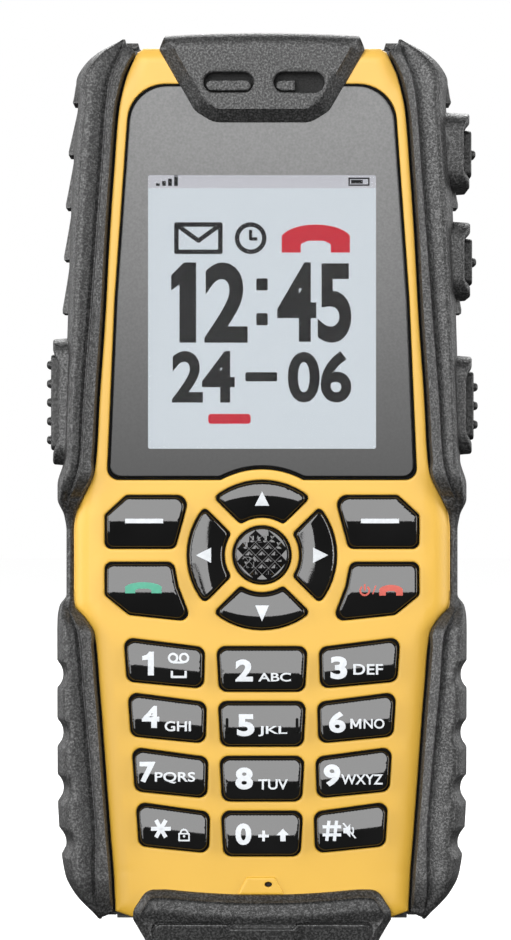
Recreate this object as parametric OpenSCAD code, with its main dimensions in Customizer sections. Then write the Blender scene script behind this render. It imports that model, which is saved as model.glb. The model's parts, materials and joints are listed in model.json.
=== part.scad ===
// Rugged candybar handset, standing on its base. Millimetres.
// X runs across the phone, the keypad side faces -Y, Z runs up to the earpiece.
// The origin is at the middle of the base, halfway through the depth.

/* [Housing] */
// Half of the depth over the rubber bumpers
bumper_y = 12.7; // [12.6:0.05:12.8]
// Distance from mid-depth to the front face of the front cover
face_y = 10.8; // [10.75:0.05:10.9]
// Distance from mid-depth to the outer face of the rear cover
back_y = 11.6; // [11.5:0.05:11.7]
// Top of the earpiece guard above the base
body_top = 120; // [119.6:0.1:120.4]
// Underside of the two covers above the base
core_bottom = 3; // [2.9:0.05:3.1]
// Wall thickness of the front and rear covers
wall = 1.5; // [1.3:0.05:1.6]

/* [Keys] */
// Height of the navigation ring's centre above the base
nav_z = 51.3; // [51:0.1:51.5]
// Outer radius of the navigation ring
nav_r = 9.9; // [9.6:0.05:9.95]
// Distance between two rows of number keys
row_pitch = 7.22; // [7.18:0.01:7.25]
// Gap between a key and the edge of its opening
key_gap = 0.25; // [0.15:0.05:0.3]
// Height of the keys above the front face
key_rise = 0.55; // [0.3:0.05:0.8]
// Travel of a front key
key_travel = 0.45; // [0.3:0.05:0.45]
// Travel of a side key
side_travel = 0.4; // [0.2:0.05:0.4]

/* [Display] */
// Half width of the glass lens at its lower corners
lens_half = 20.3; // [20:0.1:20.4]
// Top edge of the glass lens above the base
lens_top = 113; // [112.6:0.1:113.2]
// Half width of the display window
window_half = 15.4; // [15:0.1:15.8]

/* [Battery] */
// Half width of the battery
battery_half = 17; // [16:0.1:17]
// Lower end of the battery above the base
battery_z0 = 27; // [26.8:0.1:28]
// Upper end of the battery above the base
battery_z1 = 88; // [86:0.1:88.2]

/* [Sockets] */
// Bore radius of the headset jack
jack_r = 1.78; // [1.76:0.01:1.8]
// Distance of the headset jack to the right of the middle
jack_x = 6.5; // [6.2:0.1:7]
// Distance of the headset jack in front of mid-depth
jack_y = 0.4; // [0.3:0.05:0.5]

/* [Hidden] */
$fn = 48;
// Small overlap that keeps cuts clean, and the fit between parts that touch
eps = 0.01;
fit = 0.02;
// A corner whose radius is below this keeps a single point
sharp = 0.02;

// Profile of one side, from the base up. Each row is
// [height, half width of the front face, ridge x, ridge y, outer half width]
profile = [
    [3.4, 19.2, 20.4, -9.4, 21.4],
    [5, 19.3, 21.4, -11.3, 23.4],
    [6.8, 19.4, 21.6, -12.3, 25],
    [9, 19.5, 21.6, -12.7, 26.1],
    [14, 19.9, 21.6, -12.7, 26.8],
    [20, 20.35, 22, -12.7, 27.1],
    [34, 21.4, 23.3, -12.7, 27.15],
    [41, 22.1, 23.9, -12.6, 27.15],
    [43, 23.3, 24.8, -11.7, 27.1],
    [44.6, 24.7, 25.5, -10.1, 26.8],
    [46, 24.8, 25.3, -9.6, 25.9],
    [54.5, 24.8, 25.3, -9.6, 25.9],
    [56.5, 24.6, 25.6, -10, 26.2],
    [58.7, 23.7, 25.4, -11.3, 27.1],
    [60, 23, 24.8, -12.2, 27.1],
    [62, 22, 24.1, -12.7, 27.1],
    [64, 21.6, 23.7, -12.7, 27.1],
    [72, 21.1, 23.2, -12.7, 26.9],
    [82, 20.5, 22.4, -12.7, 26.6],
    [94, 19.6, 21.5, -12.7, 26.25],
    [102, 19.1, 20.9, -12.7, 25.9],
    [110, 18.6, 20.3, -12.7, 25.3],
    [112.5, 18.2, 20, -12.6, 25],
    [114.5, 17.75, 19.6, -12.4, 24.5],
    [116, 17.1, 19, -12.1, 23.6],
    [117.5, 16.4, 18.4, -11.5, 22],
    [118.2, 16.3, 18.1, -11.1, 20.7],
    [119.2, 16.3, 17.7, -10.4, 18.4]
];
core_top = 118.2;
part_y = 4;             // parting line of the covers, in front of mid-depth
rubber = 3.2;           // thickness of the rubber on the sides
floor_front = 1;        // front face of the wall behind the electronics
bay_floor = 2.2;        // front wall of the battery bay
step = 0.05;            // least step between the two covers' outlines
scallops = [13.4, 20.5, 27.8, 35.5];
scallop_depth = 0.9;
scallop_half = 2.6;
shoulder_y = 5;         // where the side face of a grip starts to round over
rear_round = 4.5;       // size of the grips' rear rounding
lip = 2.6;              // overlap of the grips behind the rear cover
lip_end = 13.4;         // nearest that overlap comes to the middle

// Depth positions of the front parts, all in front of mid-depth
lens_front = 11;
lens_back = 9.5;
gasket_w = 0.55;
plate_back = face_y - wall;
lens_floor = 8.7;
flange_front = 9.2;
flange_back = 8.7;
flange_w = 0.35;
mat_front = flange_back - key_travel - 0.25;
mat_back = mat_front - 0.6;
board_front = 5.8;
board_back = 4.8;
dome_h = 0.35;
plunger_tip = board_front + dome_h + key_travel + 0.05;
plunger_r = 1.2;

// Display, heights above the base
lens_bottom = 61.5;
lens_notch_r = 11.6;
window_z = [64.9, 102];
panel_z = [64.2, 103.6];
panel_half = 15.8;
frame_w = 1;

// Screws that hold the covers together, [x, z] of the right-hand ones
screw_sites = [[14, 8.3], [13.5, 115.3]];
screw_r = 0.8;
screw_head_r = 1.75;
well_r = 2;
well_floor = 1.5;

// Rear cover, battery cover and its two quarter-turn locks
recess_y = 10.3;
recess_half = 18.4;
recess_z = [15.8, 92.2];
cover_gap = 0.2;
cover_y = [10.45, 12.2];
lock_x = 11;
lock_z = 21;
lock_r = 3;
battery_y = [2.4, 9.9];
bay_gap = 0.25;

// Rear camera and loudspeaker
camera_z = 107;
camera_r = 3.9;
grille_z = [95.5, 101.3];
grille_half = 8.5;
rear_pocket_y = 10;

// Sockets in the underside, on feet that stand on the main board
socket_y = -3.3;
socket_foot = 5;
socket_top = 8.8;
usb_x = [-9, -1.5];
usb_y = [socket_y, -0.75];
jack_end_y = 2.5;
jack_top = 17.5;
jack_depth = 13.5;

// Connector cover and its hinge
hinge_y = 5.2;
hinge_z = 1.55;
hinge_r = 1.2;
flap_half = 14.1;
flap_front = 12.4;
flap_z = [0.35, 2.75];

// Side keys: [side, lower end, upper end, outermost half width, number of bumps]
side_key_left_d = [-1, 65.1, 77.9, 28.1, 5];
side_key_upper_d = [1, 101.4, 107.7, 27.9, 1];
side_key_middle_d = [1, 87.1, 93.3, 28, 1];
side_key_lower_d = [1, 66.5, 75.6, 28.2, 3];
side_keys = [side_key_left_d, side_key_upper_d, side_key_middle_d, side_key_lower_d];
side_key_half = 2.9;
side_key_gap = 0.25;
collar_rim = 2.3;
collar_half = 5;
collar_root = 24.2;
nub_y = -1.5;
nub_r = 1;
nub_end = 20.95;
bump_h = 0.6;

// Microphone and its hole in the front cover
mic_x = 0.8;
mic_z = 8;
mic_hole_r = 0.4;

// The vibration motor
motor_x = [-14, -6];
motor_y = -2.2;
motor_z = 22;
motor_r = 2;
weight_r = 2.3;

// ---------- profile of the body ----------

function column(i) = [for (row = profile) [row[0], row[i]]];
function face_half(z) = lookup(z, column(1));
function ridge_x(z) = lookup(z, column(2));
function ridge_y(z) = lookup(z, column(3));
function outer_half(z) = lookup(z, column(4));
core_column = [for (row = profile) [row[0], max(row[1] + step, row[4] - rubber)]];
function core_half(z) = lookup(z, core_column);

// Outline of a cover, drawn in from its edge by d. kind 0 is the front cover, 1 the rear cover
function cover_half(kind, z) = kind == 0 ? face_half(z) : core_half(z);
function cover_heights(z0, z1) = concat(
    [z0],
    [for (row = profile) if (row[0] > z0 + eps && row[0] < z1 - eps) row[0]],
    [z1]
);
function cover_outline(kind, z0, z1, d) = let (hs = cover_heights(z0, z1)) concat(
    [for (z = hs) [cover_half(kind, z) - d, z]],
    [for (i = [len(hs) - 1:-1:0]) [d - cover_half(kind, hs[i]), hs[i]]]
);

// ---------- plain outline helpers ----------

function unit(v) = v / norm(v);
function cross2(u, v) = u[0] * v[1] - u[1] * v[0];

// Rounds every corner of an outline. radii is one radius, or one for each corner
function rounded(pts, radii, steps = 4) = [
    for (i = [0:len(pts) - 1])
        let (
            n = len(pts),
            p = pts[i],
            u = unit(pts[(i + n - 1) % n] - p),
            v = unit(pts[(i + 1) % n] - p),
            r = is_list(radii) ? radii[i] : radii,
            half = acos(max(-1, min(1, u * v))) / 2,
            c = p + unit(u + v) * r / sin(half),
            a0 = atan2((p + u * r / tan(half) - c)[1], (p + u * r / tan(half) - c)[0]),
            a1 = atan2((p + v * r / tan(half) - c)[1], (p + v * r / tan(half) - c)[0]),
            turn = (a1 - a0 + 540) % 360 - 180
        )
        for (k = r < sharp ? [0] : [0:steps])
            c + r * [cos(a0 + turn * k / steps), sin(a0 + turn * k / steps)]
];

// Moves every edge of an outline inward by d. The outline runs clockwise or anticlockwise
function area2(pts) = [for (i = [0:len(pts) - 1]) cross2(pts[i], pts[(i + 1) % len(pts)])]
    * [for (p = pts) 1];
function inset(pts, d) = let (n = len(pts), s = sign(area2(pts))) [
    for (i = [0:n - 1])
        let (
            e0 = unit(pts[i] - pts[(i + n - 1) % n]),
            e1 = unit(pts[(i + 1) % n] - pts[i]),
            n0 = s * [-e0[1], e0[0]],
            n1 = s * [-e1[1], e1[0]]
        )
        pts[i] + d * (n0 + n1) / (1 + n0 * n1)
];
function mirrored(pts) = [for (i = [len(pts) - 1:-1:0]) [-pts[i][0], pts[i][1]]];

// Extrudes an X-Z outline from depth y0 back to depth y1
module slab(y0, y1) {
    translate([0, y1, 0])
        rotate([90, 0, 0])
            linear_extrude(height = y1 - y0)
                children();
}

// A cylinder along Y at [x, z], from depth y0 back to depth y1
module rod(x, z, r, y0, y1) {
    translate([x, y0, z])
        rotate([-90, 0, 0])
            cylinder(r = r, h = y1 - y0);
}

// A box between two corners
module block(a, b) {
    translate(a)
        cube(b - a);
}

module both_sides() {
    children();
    mirror([1, 0, 0])
        children();
}

// ---------- outlines of the keys ----------

soft_right_pts = [[9.5, 59.2], [11.4, 52.1], [20.7, 52.1], [20.7, 56.6], [17.9, 59.2]];
soft_radii = [1.3, 0.9, 0.9, 0.6, 0.8];
end_pts = [[11.6, 50.4], [11, 47.2], [9.2, 42.5], [17.5, 43.4], [20.7, 46], [20.7, 50.4]];
end_radii = [1, 2, 1, 0.9, 0.8, 0.9];

// A key of the outer columns leans down towards the middle, and each row is a little narrower
function outer_key_pts(row) = let (
    x_in = 7.5 - 0.22 * row,
    x_out = 18.2 - 0.53 * row,
    z = 40.5 - row_pitch * row
) [[x_in, z - 1.35], [x_in + 0.15, z - 6.8], [x_out - 0.4, z - 5.85], [x_out, z]];
function middle_key_pts(row) = let (
    x = 6 - 0.2 * row,
    z = 39.3 - row_pitch * row
) [[x, z], [-x, z], [0.35 - x, z - 6], [x - 0.35, z - 6]];
number_radius = 1.1;

// A sector of the navigation ring, bounded by spokes of the housing; d draws it in
nav_inner_r = 4.9;
spoke = 1.7;
nav_centre_r = 3.9;
function sector_pts(d, steps = 10) = let (
    ro = nav_r - d,
    ri = nav_inner_r + d,
    ao = 45 - asin((spoke / 2 + d) / ro),
    ai = 45 - asin((spoke / 2 + d) / ri)
) concat(
    [for (k = [0:steps]) let (a = ao - 2 * ao * k / steps) [ro * sin(a), nav_z + ro * cos(a)]],
    [for (k = [0:steps]) let (a = 2 * ai * k / steps - ai) [ri * sin(a), nav_z + ri * cos(a)]]
);
// Only the four true corners of a sector are rounded
function sector_radii(steps = 10) = [
    for (i = [0:2 * steps + 1]) (i % (steps + 1) == 0 || i % (steps + 1) == steps) ? 0.6 : 0.01
];

// Every front key but the centre one: outline drawn in by d
function key_pts(name, d) =
    name == "soft_right" ? rounded(inset(soft_right_pts, d), soft_radii)
    : name == "soft_left" ? mirrored(key_pts("soft_right", d))
    : name == "end" ? rounded(inset(end_pts, d), end_radii)
    : name == "call" ? mirrored(key_pts("end", d))
    : rounded(sector_pts(d), sector_radii());

module number_outline(column, row, d) {
    if (column == 1)
        polygon(rounded(inset(middle_key_pts(row), d), number_radius));
    else
        mirror([1 - column / 2, 0])
            polygon(rounded(inset(outer_key_pts(row), d), number_radius));
}

module nav_outline(turn, d) {
    translate([0, nav_z])
        rotate(turn)
            translate([0, -nav_z])
                polygon(key_pts("nav", d));
}

// All the key openings, drawn in by d
module key_openings(d) {
    for (name = ["soft_left", "soft_right", "call", "end"])
        polygon(key_pts(name, d));
    for (turn = [0:90:270])
        nav_outline(turn, d);
    translate([0, nav_z])
        circle(r = nav_centre_r - d);
    for (column = [0:2], row = [0:3])
        number_outline(column, row, d);
}

// Where each key's plunger stands, [x, z]
plunger_soft = [15.6, 55.6];
plunger_end = [15.4, 47];
plunger_nav = (nav_r + nav_inner_r) / 2;
function number_plunger(column, row) = column == 1
    ? [0, 39.3 - 3 - row_pitch * row]
    : [(column - 1) * (12.85 - 0.37 * row), 40.5 - 3.5 - row_pitch * row];
plungers = concat(
    [for (s = [-1, 1]) [s * plunger_soft[0], plunger_soft[1]]],
    [for (s = [-1, 1]) [s * plunger_end[0], plunger_end[1]]],
    [for (a = [0:90:270]) [plunger_nav * cos(a), nav_z + plunger_nav * sin(a)]],
    [[0, nav_z]],
    [for (column = [0:2], row = [0:3]) number_plunger(column, row)]
);

// ---------- outlines of the display parts ----------

lens_side = [[lens_half, lens_bottom], [19.3, 85], [17.4, lens_top]];
lens_radii = [1.5, 40, 5];
module lens_outline(grow) {
    difference() {
        polygon(rounded(
            inset(concat(lens_side, mirrored(lens_side)), -grow),
            concat(lens_radii, [lens_radii[2], lens_radii[1], lens_radii[0]]) , 6));
        translate([0, nav_z])
            circle(r = lens_notch_r - grow);
    }
}

// ---------- housing ----------

module screw_posts(r, y0, y1) {
    for (site = screw_sites)
        both_sides()
            rod(site[0], site[1], r, y0, y1);
}

// Slots of the guard: [left end, right end]
slot_z = 113.4;
slot_r = 1.3;
slots = [[-7.7, -1.1], [1.5, 8.2]];
sound_hole = [4.4, 8];

module slot_outline(ends, r) {
    for (x = [ends[0] + slot_r, ends[1] - slot_r])
        translate([x, slot_z])
            circle(r = r);
    translate([ends[0] + slot_r, slot_z - r])
        square([ends[1] - ends[0] - 2 * slot_r, 2 * r]);
}

module front_cover() {
    color("gold")
    difference() {
        union() {
            difference() {
                slab(-face_y, -part_y)
                    polygon(cover_outline(0, core_bottom, core_top, 0));
                slab(-plate_back, -part_y + eps)
                    polygon(cover_outline(0, core_bottom + 1.2, 60.4, wall));
                slab(-lens_floor, -part_y + eps)
                    polygon(cover_outline(0, 60.3, core_top - 1.2, wall));
                // room for the flange of the upper navigation key
                slab(-plate_back, -lens_floor + eps)
                    translate([0, nav_z])
                        circle(r = nav_r + flange_w + 0.15);
            }
            screw_posts(1.8, -plate_back - eps, -part_y);
        }
        screw_posts(screw_r + 0.05, -lens_floor + 0.1, -part_y + eps);
        slab(-face_y - eps, -lens_back)
            lens_outline(gasket_w);
        slab(-face_y - 1, -part_y - 2)
            translate([-window_half, window_z[0]])
                square([2 * window_half, window_z[1] - window_z[0]]);
        slab(-face_y - eps, -plate_back + eps)
            key_openings(0);
        slab(-face_y - eps, -lens_floor + eps)
            slot_outline(sound_hole, 1);
        rod(mic_x, mic_z, mic_hole_r, -face_y - eps, -plate_back + eps);
    }
}

module rear_cover() {
    color("dimgray")
    difference() {
        union() {
            difference() {
                slab(-part_y, back_y)
                    polygon(cover_outline(1, core_bottom, core_top, 0));
                slab(-part_y - eps, floor_front)
                    polygon(cover_outline(1, core_bottom + 1.2, core_top - 1.2, wall));
            }
            screw_posts(2.8, -part_y, floor_front + eps);
        }
        screw_posts(screw_r + 0.1, -part_y - eps, well_floor + eps);
        screw_posts(well_r, well_floor, back_y + eps);
        housing_seal();
        // battery bay and the recess of its cover
        block([-recess_half, recess_y, recess_z[0]], [recess_half, back_y + eps, recess_z[1]]);
        block([-battery_half - bay_gap, bay_floor, battery_z0 - bay_gap],
              [battery_half + bay_gap, recess_y + eps, battery_z1 + bay_gap]);
        both_sides()
            rod(lock_x, lock_z, lock_r, 6.6, recess_y + eps);
        // windows in the floor of the bay
        block([-sim_half - 0.1, floor_front - eps, sim_z[0] - 0.1],
              [sim_half + 0.1, bay_floor + eps, sim_z[1] + 0.1]);
        block([-contact_half - 0.2, floor_front - eps, contact_z[0] - 0.2],
              [contact_half + 0.2, bay_floor + eps, contact_z[1] + 0.2]);
        // pocket of the antenna, and pocket of the camera and loudspeaker
        block([-11, floor_front - eps, core_bottom + 1.2], [11, rear_pocket_y, 15]);
        block([-12, floor_front - eps, 93.8], [12, rear_pocket_y, 112]);
        slab(rear_pocket_y - eps, back_y + eps)
            translate([-grille_half, grille_z[0]])
                square([2 * grille_half, grille_z[1] - grille_z[0]]);
        rod(0, camera_z, camera_r - 0.8, rear_pocket_y - eps, back_y);
        rod(0, camera_z, camera_r, back_y - 0.8, back_y + eps);
        // openings for the sockets in the underside, and the pocket behind the jack
        block([usb_x[0] - 0.1, usb_y[0] - 0.1, core_bottom - eps],
              [usb_x[1] + 0.1, usb_y[1] + 0.1, core_bottom + 1.3]);
        block([jack_x - 3.1, socket_y - 0.1, core_bottom - eps],
              [jack_x + 3.1, jack_end_y + 0.1, core_bottom + 1.3]);
        block([jack_x - 3.1, floor_front - eps, core_bottom + 1.2],
              [jack_x + 3.1, jack_end_y + 0.1, jack_top + 0.2]);
        // holes for the side keys' nubs
        for (key = side_keys)
            translate([key[0] * 19, nub_y, (key[1] + key[2]) / 2])
                rotate([0, key[0] * 90, 0])
                    cylinder(r = nub_r + 0.3, h = 8);
    }
}

// The seal in the joint between the covers
module housing_seal() {
    slab(-part_y, -part_y + 0.4)
        difference() {
            polygon(cover_outline(0, core_bottom + 0.35, core_top - 0.35, 0.45));
            polygon(cover_outline(0, core_bottom + 0.8, core_top - 0.8, 0.95));
        }
}

module housing_gasket() {
    color("darkred")
    housing_seal();
}

module housing_screws() {
    color("silver")
    difference() {
        union() {
            screw_posts(screw_r, -lens_floor + 0.3, well_floor + eps);
            screw_posts(screw_head_r, well_floor, well_floor + 1.4);
        }
        for (site = screw_sites)
            both_sides()
                translate([site[0], well_floor + 0.6, site[1]])
                    rotate([-90, 0, 0])
                        cylinder(r = 0.9, h = 1, $fn = 6);
    }
}

// ---------- rubber parts ----------

function scallop(z) = max([for (c = scallops)
    scallop_depth * max(0, cos(min(90, abs(z - c) * 90 / scallop_half)))]);

// Heights of the grip's rings: every row of the profile, and steps between them
ring_step = 1.6;
ring_heights = concat(
    [for (i = [0:len(profile) - 2])
        let (z0 = profile[i][0], z1 = profile[i + 1][0], n = ceil((z1 - z0) / ring_step))
        for (k = [0:n - 1]) z0 + (z1 - z0) * k / n],
    [profile[len(profile) - 1][0]]
);
arc_steps = 5;
rear_steps = 4;

// Section of the right grip at height z, round the side of the covers
function grip_section(z) = let (
    w = face_half(z) + fit,
    c = core_half(z) + fit,
    o = outer_half(z) - scallop(z),
    rx = ridge_x(z),
    ry = ridge_y(z),
    corner = o - rear_round,
    edge = max(min(c, corner) - lip, lip_end)
) concat(
    [[w, max(-face_y + 0.2, ry + 0.1), z]],
    [for (k = [0:arc_steps]) let (a = 90 * k / arc_steps)
        [rx + (o - rx) * sin(a), -shoulder_y + (ry + shoulder_y) * cos(a), z]],
    [for (k = [0:rear_steps]) let (a = 90 * k / rear_steps)
        [corner + rear_round * cos(a), 6 + (bumper_y - 6) * sin(a), z]],
    [[edge, bumper_y, z], [edge - 0.4, back_y + fit, z], [c, back_y + fit, z],
     [c, -part_y - fit, z], [w, -part_y - fit, z]]
);

module grip_skin() {
    sections = [for (z = ring_heights) grip_section(z)];
    n = len(sections[0]);
    m = len(sections);
    polyhedron(
        points = [for (s = sections) each s],
        faces = concat(
            [[for (i = [0:n - 1]) i]],
            [for (j = [0:m - 2]) for (i = [0:n - 1])
                [j * n + i, (j + 1) * n + i, (j + 1) * n + (i + 1) % n, j * n + (i + 1) % n]],
            [[for (i = [n - 1:-1:0]) (m - 1) * n + i]]
        ),
        convexity = 8
    );
}

// A grip with the collars of its side keys, built as the right-hand one
module grip(keys) {
    difference() {
        union() {
            grip_skin();
            for (key = keys)
                block([collar_root, -collar_half, key[1] - collar_rim],
                      [key[3] - 0.5, collar_half, key[2] + collar_rim]);
        }
        for (key = keys)
            block([20, -side_key_half - side_key_gap, key[1] - side_key_gap],
                  [30, side_key_half + side_key_gap, key[2] + side_key_gap]);
    }
}

module grip_right() {
    color("#2b2b2d")
    grip([side_key_upper_d, side_key_middle_d, side_key_lower_d]);
}

module grip_left() {
    color("#2b2b2d")
    mirror([1, 0, 0])
        grip([side_key_left_d]);
}

guard_side = [[6.2, 108.2], [9, 109.6], [13.6, 117.9], [12.8, body_top]];
module earpiece_guard() {
    color("#303032")
    difference() {
        union() {
            slab(-bumper_y, -face_y)
                polygon(concat(guard_side, mirrored(guard_side)));
            block([-12.8, -face_y - eps, core_top], [12.8, back_y + eps, body_top]);
            slab(back_y, bumper_y)
                polygon([[9, 114], [12.8, 117], [12.8, body_top],
                         [-12.8, body_top], [-12.8, 117], [-9, 114]]);
        }
        slab(-lens_front - 0.05, -face_y + 0.5)
            lens_outline(gasket_w + 0.05);
        for (ends = slots)
            slab(-bumper_y - eps, -11.6)
                slot_outline(ends, slot_r);
        slab(-bumper_y - eps, -face_y + eps)
            slot_outline(sound_hole, 1);
    }
}

bumper_side = [[16.3, 0], [17, 1], [17, 4], [14.6, 7]];
module bottom_bumper() {
    color("#303032")
    difference() {
        union() {
            slab(-bumper_y, -face_y)
                polygon(concat(bumper_side, mirrored(bumper_side)));
            block([-16.3, -face_y - eps, 0], [16.3, bumper_y, core_bottom]);
            block([-12, back_y, core_bottom - eps], [12, bumper_y, 5.6]);
        }
        block([-flap_half - 0.2, -bumper_y - eps, -eps],
              [flap_half + 0.2, hinge_y + hinge_r + 0.3, core_bottom]);
        block([-flap_half - 0.2, -bumper_y - eps, -eps],
              [flap_half + 0.2, -face_y, core_bottom + 0.3]);
    }
}

// ---------- display ----------

module display_lens() {
    color([0.45, 0.45, 0.47])
    slab(-lens_front, -lens_back)
        lens_outline(0);
}

module lens_gasket() {
    color("black")
    slab(-lens_front + 0.05, -lens_back)
        difference() {
            lens_outline(gasket_w);
            lens_outline(0);
        }
}

module panel_outline(grow) {
    translate([-panel_half - grow, panel_z[0] - grow])
        square([2 * (panel_half + grow), panel_z[1] - panel_z[0] + 2 * grow]);
}

module lcd_panel() {
    color("lightsteelblue")
    slab(-lens_floor + 0.1, -6.6)
        panel_outline(0);
}

module lcd_frame() {
    color("silver")
    difference() {
        slab(-lens_floor + 0.1, -6.1)
            panel_outline(frame_w);
        slab(-lens_floor, -6.6)
            panel_outline(0.05);
    }
}

// ---------- keys ----------

// A key: cap through the cover, flange behind it, plunger behind that.
// Child 0 is the cap's outline and child 1 the flange's
module key_body(plunger) {
    slab(-face_y - key_rise, -flange_front + eps)
        children(0);
    slab(-flange_front, -flange_back)
        children(1);
    rod(plunger[0], plunger[1], plunger_r, -flange_back - eps, -plunger_tip);
}

module shaped_key(name, plunger) {
    color("#151515")
    key_body(plunger) {
        polygon(key_pts(name, key_gap));
        polygon(key_pts(name, -flange_w));
    }
}

module nav_key(turn) {
    color("#151515")
    key_body([-plunger_nav * sin(turn), nav_z + plunger_nav * cos(turn)]) {
        nav_outline(turn, key_gap);
        nav_outline(turn, -flange_w);
    }
}

module number_key(column, row) {
    color("#151515")
    key_body(number_plunger(column, row)) {
        number_outline(column, row, key_gap);
        number_outline(column, row, -flange_w);
    }
}

module key_soft_left() { shaped_key("soft_left", [-plunger_soft[0], plunger_soft[1]]); }
module key_soft_right() { shaped_key("soft_right", plunger_soft); }
module key_call() { shaped_key("call", [-plunger_end[0], plunger_end[1]]); }
module key_end() { shaped_key("end", plunger_end); }
module key_up() { nav_key(0); }
module key_left() { nav_key(90); }
module key_down() { nav_key(180); }
module key_right() { nav_key(270); }

module key_centre() {
    color("#151515")
    key_body([0, nav_z]) {
        translate([0, nav_z]) circle(r = nav_centre_r - key_gap);
        translate([0, nav_z]) circle(r = nav_centre_r + 0.2);
    }
}

module key_1() { number_key(0, 0); }
module key_2() { number_key(1, 0); }
module key_3() { number_key(2, 0); }
module key_4() { number_key(0, 1); }
module key_5() { number_key(1, 1); }
module key_6() { number_key(2, 1); }
module key_7() { number_key(0, 2); }
module key_8() { number_key(1, 2); }
module key_9() { number_key(2, 2); }
module key_star() { number_key(0, 3); }
module key_0() { number_key(1, 3); }
module key_hash() { number_key(2, 3); }

module keypad_mat() {
    color("gray")
    slab(-mat_front, -mat_back)
        difference() {
            polygon(cover_outline(0, 11, 60.2, 2.2));
            for (p = plungers)
                translate(p)
                    circle(r = plunger_r + 0.4);
        }
}

module dome_sheet() {
    color("silver")
    union() {
        slab(-board_front - 0.1, -board_front)
            polygon(cover_outline(0, 11, 60.2, 2.6));
        for (p = plungers)
            rod(p[0], p[1], 1.9, -board_front - dome_h, -board_front - 0.1 + eps);
    }
}

// A side key: bar with bumps, and a nub that reaches the switch inside
module side_key(key) {
    z = (key[1] + key[2]) / 2;
    pitch = 2.45;
    inner = core_half(key[1]) + side_travel + 0.12;
    color("#232325")
    mirror([key[0] < 0 ? 1 : 0, 0, 0]) {
        block([inner, -side_key_half, key[1]], [key[3], side_key_half, key[2]]);
        for (k = [0:key[4] - 1])
            translate([key[3] - eps, -side_key_half + 0.6, z + (k - (key[4] - 1) / 2) * pitch - 0.6])
                cube([bump_h + eps, 2 * side_key_half - 1.2, 1.2]);
        translate([nub_end, nub_y, z])
            rotate([0, 90, 0])
                cylinder(r = nub_r, h = inner - nub_end + eps);
    }
}

module side_key_left() { side_key(side_key_left_d); }
module side_key_upper() { side_key(side_key_upper_d); }
module side_key_middle() { side_key(side_key_middle_d); }
module side_key_lower() { side_key(side_key_lower_d); }

// Narrow circuit boards along the side walls, each with a switch behind every nub
module side_key_boards() {
    color("darkgreen") {
        block([-20, -3.6, 64], [-19.4, 0.6, 79]);
        block([19.4, -3.6, 68], [20, 0.6, 108]);
        for (key = side_keys)
            translate([key[0] * 20.24, nub_y, (key[1] + key[2]) / 2])
                cube([0.5, 2.4, 2.4], center = true);
    }
}

// ---------- electronics ----------

module main_board() {
    color("darkgreen")
    difference() {
        slab(-board_front, -board_back)
            polygon(cover_outline(0, 5, 112.5, 2.1));
        screw_posts(2, -board_front - eps, -board_back + eps);
    }
}

module shield_cans() {
    color("silver")
    both_sides()
        difference() {
            block([5.5, -board_back, 62], [15, -3.2, 98]);
            block([5.7, -board_back - eps, 62.2], [14.8, -3.4, 97.8]);
        }
}

contact_half = 4;
contact_z = [83.7, 87.3];
module battery_contacts() {
    color("goldenrod") {
        block([-contact_half, -board_back, contact_z[0]], [contact_half, 1.7, contact_z[1]]);
        for (x = [-2.5, 0, 2.5])
            block([x - 0.5, 1.7 - eps, contact_z[0] + 0.4], [x + 0.5, 2.25, contact_z[1] - 0.4]);
    }
}

sim_half = 7.5;
sim_z = [40, 54];
module sim_holder() {
    color("silver")
    difference() {
        block([-sim_half, floor_front + 0.05, sim_z[0]], [sim_half, bay_floor, sim_z[1]]);
        block([-sim_half + 0.3, floor_front + 0.3, sim_z[0] - eps],
              [sim_half - 0.3, bay_floor - 0.25, sim_z[1] - 0.4]);
    }
}

module earpiece() {
    color("dimgray")
    difference() {
        block([-7, -lens_floor + 0.1, 110.8], [9, -6.3, 116.2]);
        slab(-lens_floor, -lens_floor + 0.5)
            slot_outline(sound_hole, 1);
    }
}

module loudspeaker() {
    color("dimgray")
    difference() {
        block([-10.5, 5.8, 94.2], [10.5, rear_pocket_y - 0.1, 102.4]);
        block([-8, 9.4, 95.6], [8, rear_pocket_y, 101.2]);
    }
}

module speaker_grille() {
    color("#1b1b1d")
    difference() {
        block([-grille_half, rear_pocket_y + 0.3, grille_z[0]], [grille_half, back_y - 0.3, grille_z[1]]);
        for (k = [0:2])
            block([-grille_half + 1, rear_pocket_y, grille_z[0] + 0.9 + 1.6 * k],
                  [grille_half - 1, back_y, grille_z[0] + 1.7 + 1.6 * k]);
    }
}

module camera_module() {
    color("#222222")
    union() {
        block([-4, 3.5, camera_z - 4], [4, 8, camera_z + 4]);
        rod(0, camera_z, 2.8, 8 - eps, back_y - 1);
    }
}

module camera_window() {
    color("black")
    rod(0, camera_z, camera_r - 0.05, back_y - 0.8, back_y - 0.1);
}

module microphone() {
    color("silver")
    difference() {
        rod(mic_x, mic_z, 2, -plate_back + 0.4, -board_front);
        rod(mic_x, mic_z, 0.5, -plate_back, -board_front - 2);
    }
}

module motor_can() {
    color("silver")
    difference() {
        union() {
            translate([motor_x[0], motor_y, motor_z])
                rotate([0, 90, 0])
                    cylinder(r = motor_r, h = motor_x[1] - motor_x[0]);
            block([motor_x[0] + 1, -board_back, motor_z - 1.5], [motor_x[1] - 1, motor_y, motor_z + 1.5]);
        }
        translate([motor_x[1] - 2, motor_y, motor_z])
            rotate([0, 90, 0])
                cylinder(r = 0.45, h = 3);
    }
}

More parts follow.
